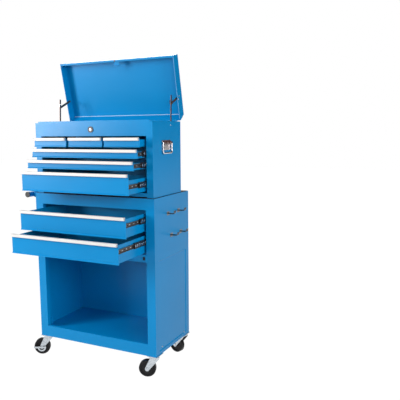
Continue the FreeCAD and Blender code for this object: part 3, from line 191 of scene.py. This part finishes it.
def plated(name, colour, dark, rough):
    # Plated steel: soft clouds and a few dull flecks
    material, tree, shader = new_material(name)
    flecks = noise(tree, coordinates(tree), scale=160.0, detail=5.0, roughness=0.65)
    colours = ramp(tree, flecks, [(0.35, dark), (0.6, colour)])
    tree.links.new(colours, shader.inputs["Base Color"])
    rougher = spread(tree, flecks, low=rough * 0.7, high=rough * 1.4)
    tree.links.new(rougher, shader.inputs["Roughness"])
    tree.links.new(bump(tree, flecks, strength=0.1, distance=0.0003), shader.inputs["Normal"])
    shader.inputs["Metallic"].default_value = 1.0
    return material


def dull(name, colour, light, rough, grain, depth, metallic=0.0, specular=0.5):
    # A fine even grain, for rubber, foam and plastic and for blackened or darkened metal
    material, tree, shader = new_material(name)
    fine = noise(tree, coordinates(tree), grain, detail=4.0, roughness=0.6)
    colours = ramp(tree, fine, [(0.3, colour), (0.75, light)])
    tree.links.new(colours, shader.inputs["Base Color"])
    rougher = spread(tree, fine, low=rough * 0.9, high=min(1.0, rough * 1.1))
    tree.links.new(rougher, shader.inputs["Roughness"])
    tree.links.new(bump(tree, fine, strength=0.35, distance=depth), shader.inputs["Normal"])
    shader.inputs["Metallic"].default_value = metallic
    shader.inputs["Specular IOR Level"].default_value = specular
    return material


def ribbed(name, colour, light, pitch):
    # Ribbed mat: narrow ridges that run from side to side. The wave texture has one wave in
    # 0.314 m at a scale of 1.
    wave_length = 0.314
    material, tree, shader = new_material(name)
    vector = coordinates(tree)
    waves = add(tree, "ShaderNodeTexWave", wave_type="BANDS", bands_direction="Y")
    waves.inputs["Scale"].default_value = wave_length / pitch
    tree.links.new(vector, waves.inputs["Vector"])
    fine = noise(tree, vector, scale=700.0, detail=3.0)
    colours = ramp(tree, fine, [(0.3, colour), (0.75, light)])
    tree.links.new(colours, shader.inputs["Base Color"])
    grain = bump(tree, fine, strength=0.3, distance=0.0003)
    ridges = bump(tree, waves.outputs["Fac"], strength=0.6, distance=0.001, below=grain)
    tree.links.new(ridges, shader.inputs["Normal"])
    shader.inputs["Roughness"].default_value = 0.72
    return material


def plate_chrome():
    # Bright plate of the carrying handles. Its dark upper part is painted in, as a guess at
    # what the plate mirrors.
    low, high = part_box("side_handle_plates")
    material, tree, shader = new_material("handle_plate_chrome")
    vector = coordinates(tree)
    split = add(tree, "ShaderNodeSeparateXYZ")
    tree.links.new(vector, split.inputs["Vector"])
    level = add(tree, "ShaderNodeMapRange")
    level.inputs["From Min"].default_value = low[Z]
    level.inputs["From Max"].default_value = high[Z]
    tree.links.new(split.outputs["Z"], level.inputs["Value"])
    stops = [
        (0.0, (0.80, 0.76, 0.77)), (0.50, (0.74, 0.66, 0.66)), (0.60, (0.30, 0.27, 0.28)),
        (0.72, (0.24, 0.15, 0.14)), (0.92, (0.16, 0.075, 0.065)), (1.0, (0.42, 0.22, 0.19)),
    ]
    tree.links.new(ramp(tree, level.outputs["Result"], stops), shader.inputs["Base Color"])
    flecks = noise(tree, vector, scale=220.0, detail=4.0)
    tree.links.new(spread(tree, flecks, low=0.20, high=0.34), shader.inputs["Roughness"])
    tree.links.new(bump(tree, flecks, strength=0.12, distance=0.0003), shader.inputs["Normal"])
    shader.inputs["Metallic"].default_value = 0.75
    return material


MATERIALS = {
    "blue_paint": paint(
        "powder_coat_blue", colour=(0.0, 0.258, 0.600), shade=(0.0, 0.240, 0.565)
    ),
    "pull_aluminium": brushed(
        "anodised_pull", colour=(0.81, 0.785, 0.755), dark=(0.75, 0.725, 0.70),
        rough=0.40, along=X, metallic=0.03
    ),
    "rail_zinc": brushed(
        "rail_zinc", colour=(0.20, 0.175, 0.165), dark=(0.075, 0.065, 0.06),
        rough=0.40, along=Y, metallic=0.8
    ),
    "rail_black": dull(
        "rail_black", colour=(0.008, 0.008, 0.010), light=(0.020, 0.020, 0.023),
        rough=0.42, grain=300.0, depth=0.0002, metallic=0.3
    ),
    "chrome": plated(
        "bright_chrome", colour=(0.86, 0.85, 0.86), dark=(0.62, 0.60, 0.62), rough=0.14
    ),
    "stay_steel": brushed(
        "stay_steel", colour=(0.24, 0.155, 0.13), dark=(0.10, 0.065, 0.055),
        rough=0.36, along=Z, metallic=0.85
    ),
    "caster_zinc": plated(
        "caster_zinc", colour=(0.66, 0.71, 0.75), dark=(0.42, 0.46, 0.50), rough=0.26
    ),
    "wheel_rubber": dull(
        "wheel_rubber", colour=(0.006, 0.006, 0.007), light=(0.015, 0.015, 0.016),
        rough=0.42, grain=220.0, depth=0.0003, specular=0.24
    ),
    "black_rubber": ribbed(
        "ribbed_mat", colour=(0.008, 0.008, 0.009), light=(0.018, 0.018, 0.019), pitch=0.004
    ),
    "black_plastic": dull(
        "black_plastic", colour=(0.012, 0.012, 0.013), light=(0.022, 0.022, 0.024),
        rough=0.45, grain=500.0, depth=0.0002
    ),
}
HOOK_STEEL = plated("hook_steel", colour=(0.34, 0.32, 0.31), dark=(0.14, 0.13, 0.13), rough=0.30)
LOCK_NICKEL = brushed(
    "lock_nickel", colour=(0.66, 0.65, 0.655), dark=(0.50, 0.49, 0.495),
    rough=0.42, along=Z, metallic=0.35, grain=900.0
)
LOCK_FLANGE = dull(
    "lock_flange", colour=(0.060, 0.058, 0.062), light=(0.110, 0.106, 0.112),
    rough=0.50, grain=700.0, depth=0.0001, metallic=0.3, specular=0.4
)
BALL_STEEL = plated("ball_steel", colour=(0.62, 0.64, 0.68), dark=(0.40, 0.42, 0.45), rough=0.16)
FOAM = dull(
    "black_foam", colour=(0.010, 0.010, 0.011), light=(0.024, 0.024, 0.026),
    rough=0.92, grain=900.0, depth=0.0006
)
# Near-black that stands for the shade in slots, holes and gaps: painted shade
SLOT_SHADE_BLACK = dull(
    "painted_slot_shade", colour=(0.006, 0.006, 0.007), light=(0.014, 0.014, 0.015),
    rough=0.9, grain=400.0, depth=0.0002
)
# Pale paint for the highlight along the lid's rear fold: a painted highlight
FOLD_HIGHLIGHT_PAINT = paint("painted_fold_highlight", colour=(0.50, 0.66, 0.80), shade=(0.44, 0.61, 0.77))
# Lighter paint for the highlights on the lid's side hems: painted highlights
HEM_HIGHLIGHT_PAINT = paint("painted_hem_highlight", colour=(0.22, 0.46, 0.74), shade=(0.18, 0.42, 0.71))


# The width of the softened edges, by slot and then for single nodes
EDGE = {
    "blue_paint": 0.0007, "pull_aluminium": 0.0005, "rail_zinc": 0.0003, "rail_black": 0.0003,
    "chrome": 0.0005, "stay_steel": 0.0004, "caster_zinc": 0.0005, "wheel_rubber": 0.0012,
    "black_rubber": 0.0004, "black_plastic": 0.0008,
}
SMALL_EDGE = {"lid_hinge": 0.0002, "chest_dividers": 0.0003, "push_handle": 0.0005}
SOFT_ANGLE = math.radians(35)
# Nodes whose finish differs a little from the rest of their slot
OWN_FINISH = {
    "wrench_hooks": HOOK_STEEL, "side_handle_plates": plate_chrome(),
    "lock_barrel": LOCK_FLANGE, "lock_core": LOCK_NICKEL,
}


def soften(item, width):
    bevel = item.modifiers.new("soft_edges", "BEVEL")
    bevel.width = width
    bevel.segments = 2
    bevel.limit_method = "ANGLE"
    bevel.angle_limit = SOFT_ANGLE


def dress_nodes():
    # The frame's own nodes: a material each, and softened edges
    for part in RECORD["subparts"]:
        name = part["node"]
        slot = part["material_slot"]
        item = NODES[name]
        item.data.materials.clear()
        item.data.materials.append(OWN_FINISH.get(name, MATERIALS[slot]))
        soften(item, SMALL_EDGE.get(name, EDGE[slot]))
        item.data.shade_smooth()
        smooth = item.modifiers.new("even_faces", "WEIGHTED_NORMAL")
        smooth.keep_sharp = True


# Mesh helpers
def finish_piece(name, mesh, body, slot, material=None, smooth=True):
    # Without a material of its own, a piece wears its slot's
    bmesh.ops.recalc_face_normals(mesh, faces=mesh.faces)
    mesh.normal_update()
    data = bpy.data.meshes.new(name)
    mesh.to_mesh(data)
    mesh.free()
    if smooth:
        data.shade_smooth()
    piece = bpy.data.objects.new(name, data)
    bpy.context.scene.collection.objects.link(piece)
    data.materials.append(material or MATERIALS[slot])
    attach(piece, body)
    return piece


def block(mesh, low, high):
    size = Vector(high) - Vector(low)
    middle = (Vector(high) + Vector(low)) / 2
    place = Matrix.Translation(middle) @ Matrix.Diagonal((*size, 1))
    bmesh.ops.create_cube(mesh, size=1, matrix=place)


def ellipse(centre, first, second, steps):
    # Points round a centre, from the tip of the first half axis towards that of the second
    points = []
    for step in range(steps):
        angle = 2 * math.pi * step / steps
        points.append(Vector(centre) + first * math.cos(angle) + second * math.sin(angle))
    return points


def skin(mesh, rings, closed=False):
    # A skin from each ring of points to the next, capped at both ends or closed on itself
    rows = [[mesh.verts.new(point) for point in ring] for ring in rings]
    if closed:
        rows.append(rows[0])
    for lower, upper in zip(rows, rows[1:]):
        for step in range(len(lower)):
            following = (step + 1) % len(lower)
            mesh.faces.new((lower[step], lower[following], upper[following], upper[step]))
    if not closed:
        mesh.faces.new(list(reversed(rows[0])))
        mesh.faces.new(rows[-1])


def turned(mesh, profile, centre, axis, steps):
    # A turned piece: profile is (distance along the axis, radius) from one end to the other
    direction = Vector(axis).normalized()
    side = direction.orthogonal().normalized()
    other = direction.cross(side)
    rings = []
    for along, radius in profile:
        middle = Vector(centre) + direction * along
        rings.append(ellipse(middle, side * radius, other * radius, steps))
    skin(mesh, rings)


def dome_profile(radius, height, foot):
    # A rivet or screw head: a low dome over a short cylinder, with a tip too small to see
    rounds = 5
    tip_share = 0.02
    profile = [(0.0, radius), (foot, radius)]
    for step in range(1, rounds):
        angle = math.pi / 2 * step / rounds
        profile.append((foot + height * math.sin(angle), radius * math.cos(angle)))
    profile.append((foot + height, radius * tip_share))
    return profile


def bevelled_profile(radius, height, straight, top_share):
    # Straight for a share of the height, then narrowed to a share of the radius
    return [(0.0, radius), (height * straight, radius), (height, radius * top_share)]


def oval(mesh, centre, side, half_along, half_up, thick):
    # A flat oval on a face that looks to the side, raised by its thickness
    rings = []
    for out, share in bevelled_profile(radius=1.0, height=thick, straight=0.7, top_share=0.86):
        middle = Vector(centre) + ACROSS * side * out
        rings.append(ellipse(middle, BACK * half_along * share, UP * half_up * share, steps=20))
    skin(mesh, rings)


def rivets(name, places, axis, body, radius, slot="caster_zinc"):
    # Domed heads in one piece, each half as high as its radius
    mesh = bmesh.new()
    for place in places:
        turned(mesh, dome_profile(radius, radius / 2, foot=0.0004), place, axis, steps=20)
    return finish_piece(name, mesh, body, slot)


# Foam liners on the floors of the drawers
LINER_THICK = 0.003
LINER_SINK = 0.0004
LINER_MARGIN = 0.001


def opening(name):
    # The low and high corners of a space that the record keeps open
    return next(item["box_m"] for item in RECORD["physics"]["openings"] if item["name"] == name)


def drawer_liners():
    for name in WIDE + SMALL:
        low, high = opening(name + "_inside")
        under = low[Z] - LINER_SINK
        mesh = bmesh.new()
        block(
            mesh, (low[X] + LINER_MARGIN, low[Y] + LINER_MARGIN, under),
            (high[X] - LINER_MARGIN, high[Y] - LINER_MARGIN, under + LINER_THICK)
        )
        piece = finish_piece(name + "_liner", mesh, name, "black_rubber", FOAM, smooth=False)
        soften(piece, width=0.0008)


# Details of the drawer slides
def both_faces(low, high):
    # The side and the outer face of a pair of parts, the right one first
    return ((1, high[X]), (-1, low[X]))


def row(first, last, pitch):
    # Places a pitch apart, from the first up to the last at most
    return [first + pitch * index for index in range(int((last - first) / pitch) + 1)]


def slide_balls():
    # The balls along the top and the bottom of each ball cage
    pitch = 0.011
    first_margin = 0.006
    last_margin = 0.017
    from_edge = 0.0016
    from_face = 0.0015
    for name in WIDE:
        low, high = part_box(name + "_ball_cages")
        mesh = bmesh.new()
        for side, face in both_faces(low, high):
            for up in (high[Z] - from_edge, low[Z] + from_edge):
                for along in row(low[Y] + first_margin, high[Y] - last_margin, pitch):
                    place = Matrix.Translation((face - side * from_face, along, up))
                    bmesh.ops.create_icosphere(mesh, subdivisions=2, radius=0.0017, matrix=place)
        finish_piece(name + "_balls", mesh, name + "_cages", "chrome")


def cage_windows():
    # Bright ovals on the web of each ball cage, for the windows that show the balls
    pitch = 0.0135
    margin = 0.008
    for name in WIDE:
        low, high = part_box(name + "_ball_cages")
        level = (low[Z] + high[Z]) / 2
        mesh = bmesh.new()
        for side, face in both_faces(low, high):
            for along in row(low[Y] + margin, high[Y] - margin, pitch):
                place = (face, along, level)
                oval(mesh, place, side, half_along=0.0033, half_up=0.0066, thick=0.0005)
        finish_piece(name + "_cage_windows", mesh, name + "_cages", "chrome", BALL_STEEL)


def rail_details():
    # Slots on the web of each inner rail, as near-black ovals of painted shade, with a screw
    # head after each
    sheet = 0.0012
    reach = 0.006
    pitch = 0.032
    margin = 0.018
    for name in WIDE:
        low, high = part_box(name + "_inner_rails")
        level = (low[Z] + high[Z]) / 2
        holes = bmesh.new()
        heads = bmesh.new()
        for side, face in both_faces(low, high):
            web = face - side * (reach - sheet)
            for along in row(low[Y] + margin, high[Y] - margin - pitch / 2, pitch):
                place = (web, along, level)
                oval(holes, place, side, half_along=0.0056, half_up=0.0022, thick=0.0002)
                place = (web, along + pitch / 2, level)
                head = dome_profile(radius=0.0026, height=0.0014, foot=0.0003)
                turned(heads, head, place, (side, 0, 0), steps=18)
        finish_piece(name + "_rail_slots", holes, name, "rail_black", SLOT_SHADE_BLACK)
        finish_piece(name + "_rail_screws", heads, name, "caster_zinc")


# Screws and rivets on the sides, at places in millimetres. The side screws sit in the
# cabinet's sunk fields, so far in from its widest.
SCREW_INSET = 2.3
SIDE_SCREWS = [(59, 127), (278, 117)]
STAY_FOOT_RIVETS = [(174, 1075)]
STAY_HEAD_RIVETS = [(106, 13), (94, 4)]


def casing_screws():
    for hand, side in SIDES.items():
        outward = (side, 0, 0)
        field = side * (CABINET_HALF - SCREW_INSET)
        wall = side * CHEST_HALF
        places = [spot(field, y, z) for y, z in SIDE_SCREWS]
        rivets("side_screws_" + hand, places, outward, "cabinet", radius=0.0036)
        places = [spot(wall, y, z) for y, z in STAY_FOOT_RIVETS]
        rivets("stay_foot_rivet_" + hand, places, outward, "chest", radius=0.0032)
        places = [lid_spot(wall, out, up) for out, up in STAY_HEAD_RIVETS]
        rivets("stay_head_rivets_" + hand, places, outward, "lid", radius=0.0030)


# Painted highlights of the lid, in millimetres: ends, places out and up, and half widths and
# heights
FOLD_LINE_REACH = 297
FOLD_LINE_PLACE = (19.4, 40.2)
FOLD_LINE_HALF = (1.5, 1.3)
HEM_INSET = 1.1
HEM_START = 8
HEM_END = 277
HEM_UP = -2.4
HEM_HALF = (1.0, 0.35)


def lid_line(name, start, end, sideways, half, material):
    # An oval bar between two points of the lid: sideways is the direction of its width
    half_wide, half_high = half
    first = sideways * half_wide * MM
    second = LID_UP * half_high * MM
    mesh = bmesh.new()
    skin(mesh, [ellipse(point, first, second, steps=10) for point in (start, end)])
    finish_piece(name, mesh, "lid", "blue_paint", material, smooth=False)


def lid_bright_lines():
    # Painted highlights: a slim bar of pale paint along the lid's rear fold, and bars of lighter
    # paint on the hems of its two sides
    start = lid_spot(-FOLD_LINE_REACH, *FOLD_LINE_PLACE)
    end = lid_spot(FOLD_LINE_REACH, *FOLD_LINE_PLACE)
    lid_line("lid_fold_highlight_bar", start, end, LID_OUT, FOLD_LINE_HALF, FOLD_HIGHLIGHT_PAINT)
    for hand, side in SIDES.items():
        x = side * (CHEST_HALF - HEM_INSET)
        start = lid_spot(x, HEM_START, HEM_UP)
        end = lid_spot(x, HEM_END, HEM_UP)
        lid_line("lid_hem_highlight_" + hand, start, end, ACROSS, HEM_HALF, HEM_HIGHLIGHT_PAINT)


def lid_screw():
    # The screw under the lid's front return, near the middle
    place = lid_spot(x=5, out=277, up=-2.5)
    rivets("lid_screw", [place], -LID_UP, "lid", radius=0.0036, slot="stay_steel")


# Folding stays, at places in millimetres
ELBOW = (188.7, 1165.2)
STAY_INNER_FACE = 293.2
STAY_OUTER_FACE = 296.5
CATCH_LOW = (180.5, 1167)
CATCH_HIGH = (183.6, 1181)
CATCH_FACES = (291.6, 292.6)


def stay_rivets():
    # The elbow pin of each folding stay, domed on the inner face and headed on the outer one
    pin = dome_profile(radius=0.0034, height=0.0018, foot=0.0003)
    head = dome_profile(radius=0.0030, height=0.0012, foot=0.0002)
    for hand, side in SIDES.items():
        mesh = bmesh.new()
        turned(mesh, pin, spot(side * STAY_INNER_FACE, *ELBOW), (-side, 0, 0), steps=20)
        turned(mesh, head, spot(side * STAY_OUTER_FACE, *ELBOW), (side, 0, 0), steps=20)
        finish_piece("stay_elbow_rivet_" + hand, mesh, "stay_lower", "stay_steel")


def stay_catches():
    # The small bright spring clip in front of each stay's elbow
    for hand, side in SIDES.items():
        left, right = sorted(side * face for face in CATCH_FACES)
        mesh = bmesh.new()
        block(mesh, spot(left, *CATCH_LOW), spot(right, *CATCH_HIGH))
        piece = finish_piece("stay_catch_" + hand, mesh, "stay_lower", "chrome", smooth=False)
        soften(piece, width=0.0004)


# The folded tab in the front left corner of the open compartment, in millimetres
TAB_FOOT = (-266, 25, 136.2)
TAB_HALF_THICK = 1.0
TAB_OUTLINE = [
    (-4.0, 0.0), (4.0, 0.0), (4.0, 46.0), (2.6, 50.0), (0.0, 51.5), (-2.6, 50.0), (-4.0, 46.0),
]


def compartment_tab():
    rings = []
    for depth in (-TAB_HALF_THICK, TAB_HALF_THICK):
        middle = spot(*TAB_FOOT) + BACK * depth * MM
        rings.append([middle + (ACROSS * x + UP * z) * MM for x, z in TAB_OUTLINE])
    mesh = bmesh.new()
    skin(mesh, rings)
    piece = finish_piece("compartment_tab", mesh, "cabinet", "blue_paint", smooth=False)
    soften(piece, width=0.0004)


# Caster plates and their bolts, in metres
CASTER_PLATE = (0.048, 0.062, 0.0025)
BOLT_INSET = (0.0075, 0.0085)


def caster_bolts():
    # Four bolt heads under each caster plate
    low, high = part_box("caster_plates")
    width, depth, thick = CASTER_PLATE
    inset_x, inset_y = BOLT_INSET
    head = bevelled_profile(radius=0.0052, height=0.0038, straight=0.8, top_share=0.86)
    for end, y in (("front", low[Y]), ("rear", high[Y] - depth)):
        for hand, x in (("left", low[X]), ("right", high[X] - width)):
            mesh = bmesh.new()
            for along_x in (inset_x, width - inset_x):
                for along_y in (inset_y, depth - inset_y):
                    place = (x + along_x, y + along_y, high[Z] - thick)
                    turned(mesh, head, place, -UP, steps=6)
            name = "plate_bolts_" + end + "_" + hand
            piece = finish_piece(name, mesh, "cabinet", "caster_zinc", smooth=False)
            soften(piece, width=0.0004)


def handle_rivets():
    # A rivet in each corner of the carrying handles' plates
    plate_thick = 1.5
    inset_y = 0.0055
    inset_z = 0.006
    low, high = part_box("side_handle_plates")
    head = dome_profile(radius=0.0026, height=0.0013, foot=0.0002)
    for hand, side in SIDES.items():
        face = spot(side * (CHEST_HALF + plate_thick), 0, 0)[X]
        mesh = bmesh.new()
        for y in (low[Y] + inset_y, high[Y] - inset_y):
            for z in (high[Z] - inset_z, low[Z] + inset_z):
                turned(mesh, head, (face, y, z), (side, 0, 0), steps=18)
        finish_piece("handle_rivets_" + hand, mesh, "chest", "chrome")


# The latch slot of the middle rail, in millimetres
SLOT_LOW = (251, -1.6, 516)
SLOT_HIGH = (262, -1.1, 530)


def mid_rail_slot():
    # The slot at the right end of the rail between the drawers and the compartment, as a
    # near-black block of painted shade
    mesh = bmesh.new()
    block(mesh, spot(*SLOT_LOW), spot(*SLOT_HIGH))
    piece = finish_piece("mid_rail_slot", mesh, "cabinet", "rail_black", SLOT_SHADE_BLACK, smooth=False)
    soften(piece, width=0.0002)


def lock_ring():
    # The gap between the lock's flange and its turning core, as a near-black ring of painted
    # shade
    outer = 0.0074
    inner = 0.0066
    rise = 0.00035
    low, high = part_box("lock_barrel")
    centre = Vector(((low[X] + high[X]) / 2, low[Y], (low[Z] + high[Z]) / 2))
    rings = []
    for along, radius in ((0.0, outer), (rise, outer), (rise, inner), (0.0, inner)):
        rings.append(ellipse(centre - BACK * along, ACROSS * radius, UP * radius, steps=40))
    mesh = bmesh.new()
    skin(mesh, rings, closed=True)
    finish_piece("lock_ring", mesh, "chest", "rail_black", SLOT_SHADE_BLACK, smooth=False)


# Camera at the photograph's place: millimetres, degrees, the photo's pixels and, for the reach,
# metres
CAMERA_PLACE = (1362.96, -1948.91, 1062.47)
CAMERA_YAW = -27.18
CAMERA_PITCH = 7.86
CAMERA_ROLL = -0.69
CAMERA_FOCUS_PX = 548.83
CAMERA_MIDDLE_PX = (165.97, 203.78)
CAMERA_REACH = 50
IMAGE_PX = 400
SENSOR = 36.0


def camera():
    yaw = math.radians(CAMERA_YAW)
    pitch = math.radians(CAMERA_PITCH)
    roll = math.radians(CAMERA_ROLL)
    forward = Vector((
        math.sin(yaw) * math.cos(pitch), math.cos(yaw) * math.cos(pitch), -math.sin(pitch)
    ))
    right = Vector((math.cos(yaw), -math.sin(yaw), 0))
    up = right.cross(forward)
    rolled_right = right * math.cos(roll) + up * math.sin(roll)
    rolled_up = up * math.cos(roll) - right * math.sin(roll)
    data = bpy.data.cameras.new("photo_camera")
    item = bpy.data.objects.new("photo_camera", data)
    bpy.context.scene.collection.objects.link(item)
    turn = Matrix((rolled_right, rolled_up, -forward)).transposed().to_4x4()
    item.matrix_world = Matrix.Translation(spot(*CAMERA_PLACE)) @ turn
    data.sensor_width = SENSOR
    data.lens = CAMERA_FOCUS_PX / IMAGE_PX * SENSOR
    data.shift_x = (IMAGE_PX / 2 - CAMERA_MIDDLE_PX[X]) / IMAGE_PX
    data.shift_y = (CAMERA_MIDDLE_PX[Y] - IMAGE_PX / 2) / IMAGE_PX
    data.clip_end = CAMERA_REACH
    bpy.context.scene.camera = item


# Studio: a white floor and world as the camera sees them, and soft lamps
WHITE = (1, 1, 1, 1)
WORLD_SEEN = 1.0
WORLD_LIGHT = 0.05
FLOOR_HALF = 12.0
FLOOR_DROP = 0.0005
FLOOR_GREY = (0.62, 0.62, 0.62, 1)
FLOOR_ROUGH = 0.9
FLOOR_GLOW = 1.07
FLOOR_GLOW_SHARE = 0.94
AT_CHEST_TOP = (0, 0, 1.1)
AT_CHEST_MIDDLE = (0, 0, 1)
AT_CABINET_TOP = (0, 0, 0.75)


def seen_directly(tree):
    # One for a ray from the camera, from a reflection or through glass, and else nought
    paths = add(tree, "ShaderNodeLightPath")
    glossy = add(tree, "ShaderNodeMath", operation="MAXIMUM")
    seen = add(tree, "ShaderNodeMath", operation="MAXIMUM")
    tree.links.new(paths.outputs["Is Glossy Ray"], glossy.inputs[0])
    tree.links.new(paths.outputs["Is Transmission Ray"], glossy.inputs[1])
    tree.links.new(paths.outputs["Is Camera Ray"], seen.inputs[0])
    tree.links.new(glossy.outputs["Value"], seen.inputs[1])
    return seen.outputs["Value"]


def background(tree, strength):
    made = add(tree, "ShaderNodeBackground")
    made.inputs["Color"].default_value = WHITE
    made.inputs["Strength"].default_value = strength
    return made.outputs["Background"]


def world():
    made = bpy.data.worlds.new("studio")
    made.use_nodes = True
    tree = made.node_tree
    tree.nodes.clear()
    mix = add(tree, "ShaderNodeMixShader")
    out = add(tree, "ShaderNodeOutputWorld")
    paths = add(tree, "ShaderNodeLightPath")
    tree.links.new(paths.outputs["Is Camera Ray"], mix.inputs["Fac"])
    tree.links.new(background(tree, WORLD_LIGHT), mix.inputs[1])
    tree.links.new(background(tree, WORLD_SEEN), mix.inputs[2])
    tree.links.new(mix.outputs["Shader"], out.inputs["Surface"])
    bpy.context.scene.world = made


def floor_material():
    # Pale grey to the lamps, and nearly white where it is seen directly
    material, tree, shader = new_material("studio_white")
    shader.inputs["Base Color"].default_value = FLOOR_GREY
    shader.inputs["Roughness"].default_value = FLOOR_ROUGH
    glow = add(tree, "ShaderNodeEmission")
    glow.inputs["Color"].default_value = WHITE
    glow.inputs["Strength"].default_value = FLOOR_GLOW
    share = add(tree, "ShaderNodeMath", operation="MULTIPLY")
    share.inputs[1].default_value = FLOOR_GLOW_SHARE
    tree.links.new(seen_directly(tree), share.inputs[0])
    mix = add(tree, "ShaderNodeMixShader")
    tree.links.new(share.outputs["Value"], mix.inputs["Fac"])
    tree.links.new(shader.outputs["BSDF"], mix.inputs[1])
    tree.links.new(glow.outputs["Emission"], mix.inputs[2])
    tree.links.new(mix.outputs["Shader"], tree.nodes["Material Output"].inputs["Surface"])
    return material


def floor():
    mesh = bmesh.new()
    bmesh.ops.create_grid(mesh, x_segments=1, y_segments=1, size=FLOOR_HALF)
    data = bpy.data.meshes.new("studio_floor")
    mesh.to_mesh(data)
    mesh.free()
    item = bpy.data.objects.new("studio_floor", data)
    bpy.context.scene.collection.objects.link(item)
    item.location = (0, 0, -FLOOR_DROP)
    data.materials.append(floor_material())


def lamp(name, place, target, size, watts):
    data = bpy.data.lights.new(name, "AREA")
    data.shape = "SQUARE"
    data.size = size
    data.energy = watts
    item = bpy.data.objects.new(name, data)
    bpy.context.scene.collection.objects.link(item)
    item.location = place
    aim = Vector(target) - Vector(place)
    item.rotation_euler = aim.to_track_quat("-Z", "Y").to_euler()


def lamps():
    lamp("near_left", (-1.3, -1.7, 1.9), AT_CHEST_TOP, size=0.8, watts=19)
    lamp("mirror_low", (-1.95, -1.95, 1.25), AT_CHEST_TOP, size=0.7, watts=48)
    lamp("right", (3.0, -0.9, 1.6), AT_CABINET_TOP, size=1.5, watts=48)
    lamp("right_front", (2.6, -2.6, 1.5), AT_CABINET_TOP, size=1.2, watts=33)
    lamp("high_front", (0.2, -2.6, 3.0), AT_CHEST_TOP, size=1.4, watts=5)
    lamp("top", (0.0, -0.6, 3.4), AT_CHEST_MIDDLE, size=2.2, watts=12)
    lamp("rear_left", (-1.6, 3.0, 2.4), AT_CABINET_TOP, size=1.6, watts=40)


def main():
    dress_nodes()
    drawer_liners()
    slide_balls()
    cage_windows()
    rail_details()
    casing_screws()
    lid_bright_lines()
    lid_screw()
    stay_rivets()
    stay_catches()
    compartment_tab()
    caster_bolts()
    handle_rivets()
    mid_rail_slot()
    lock_ring()
    camera()
    world()
    floor()
    lamps()
    bpy.context.scene.view_settings.view_transform = "Standard"


main()
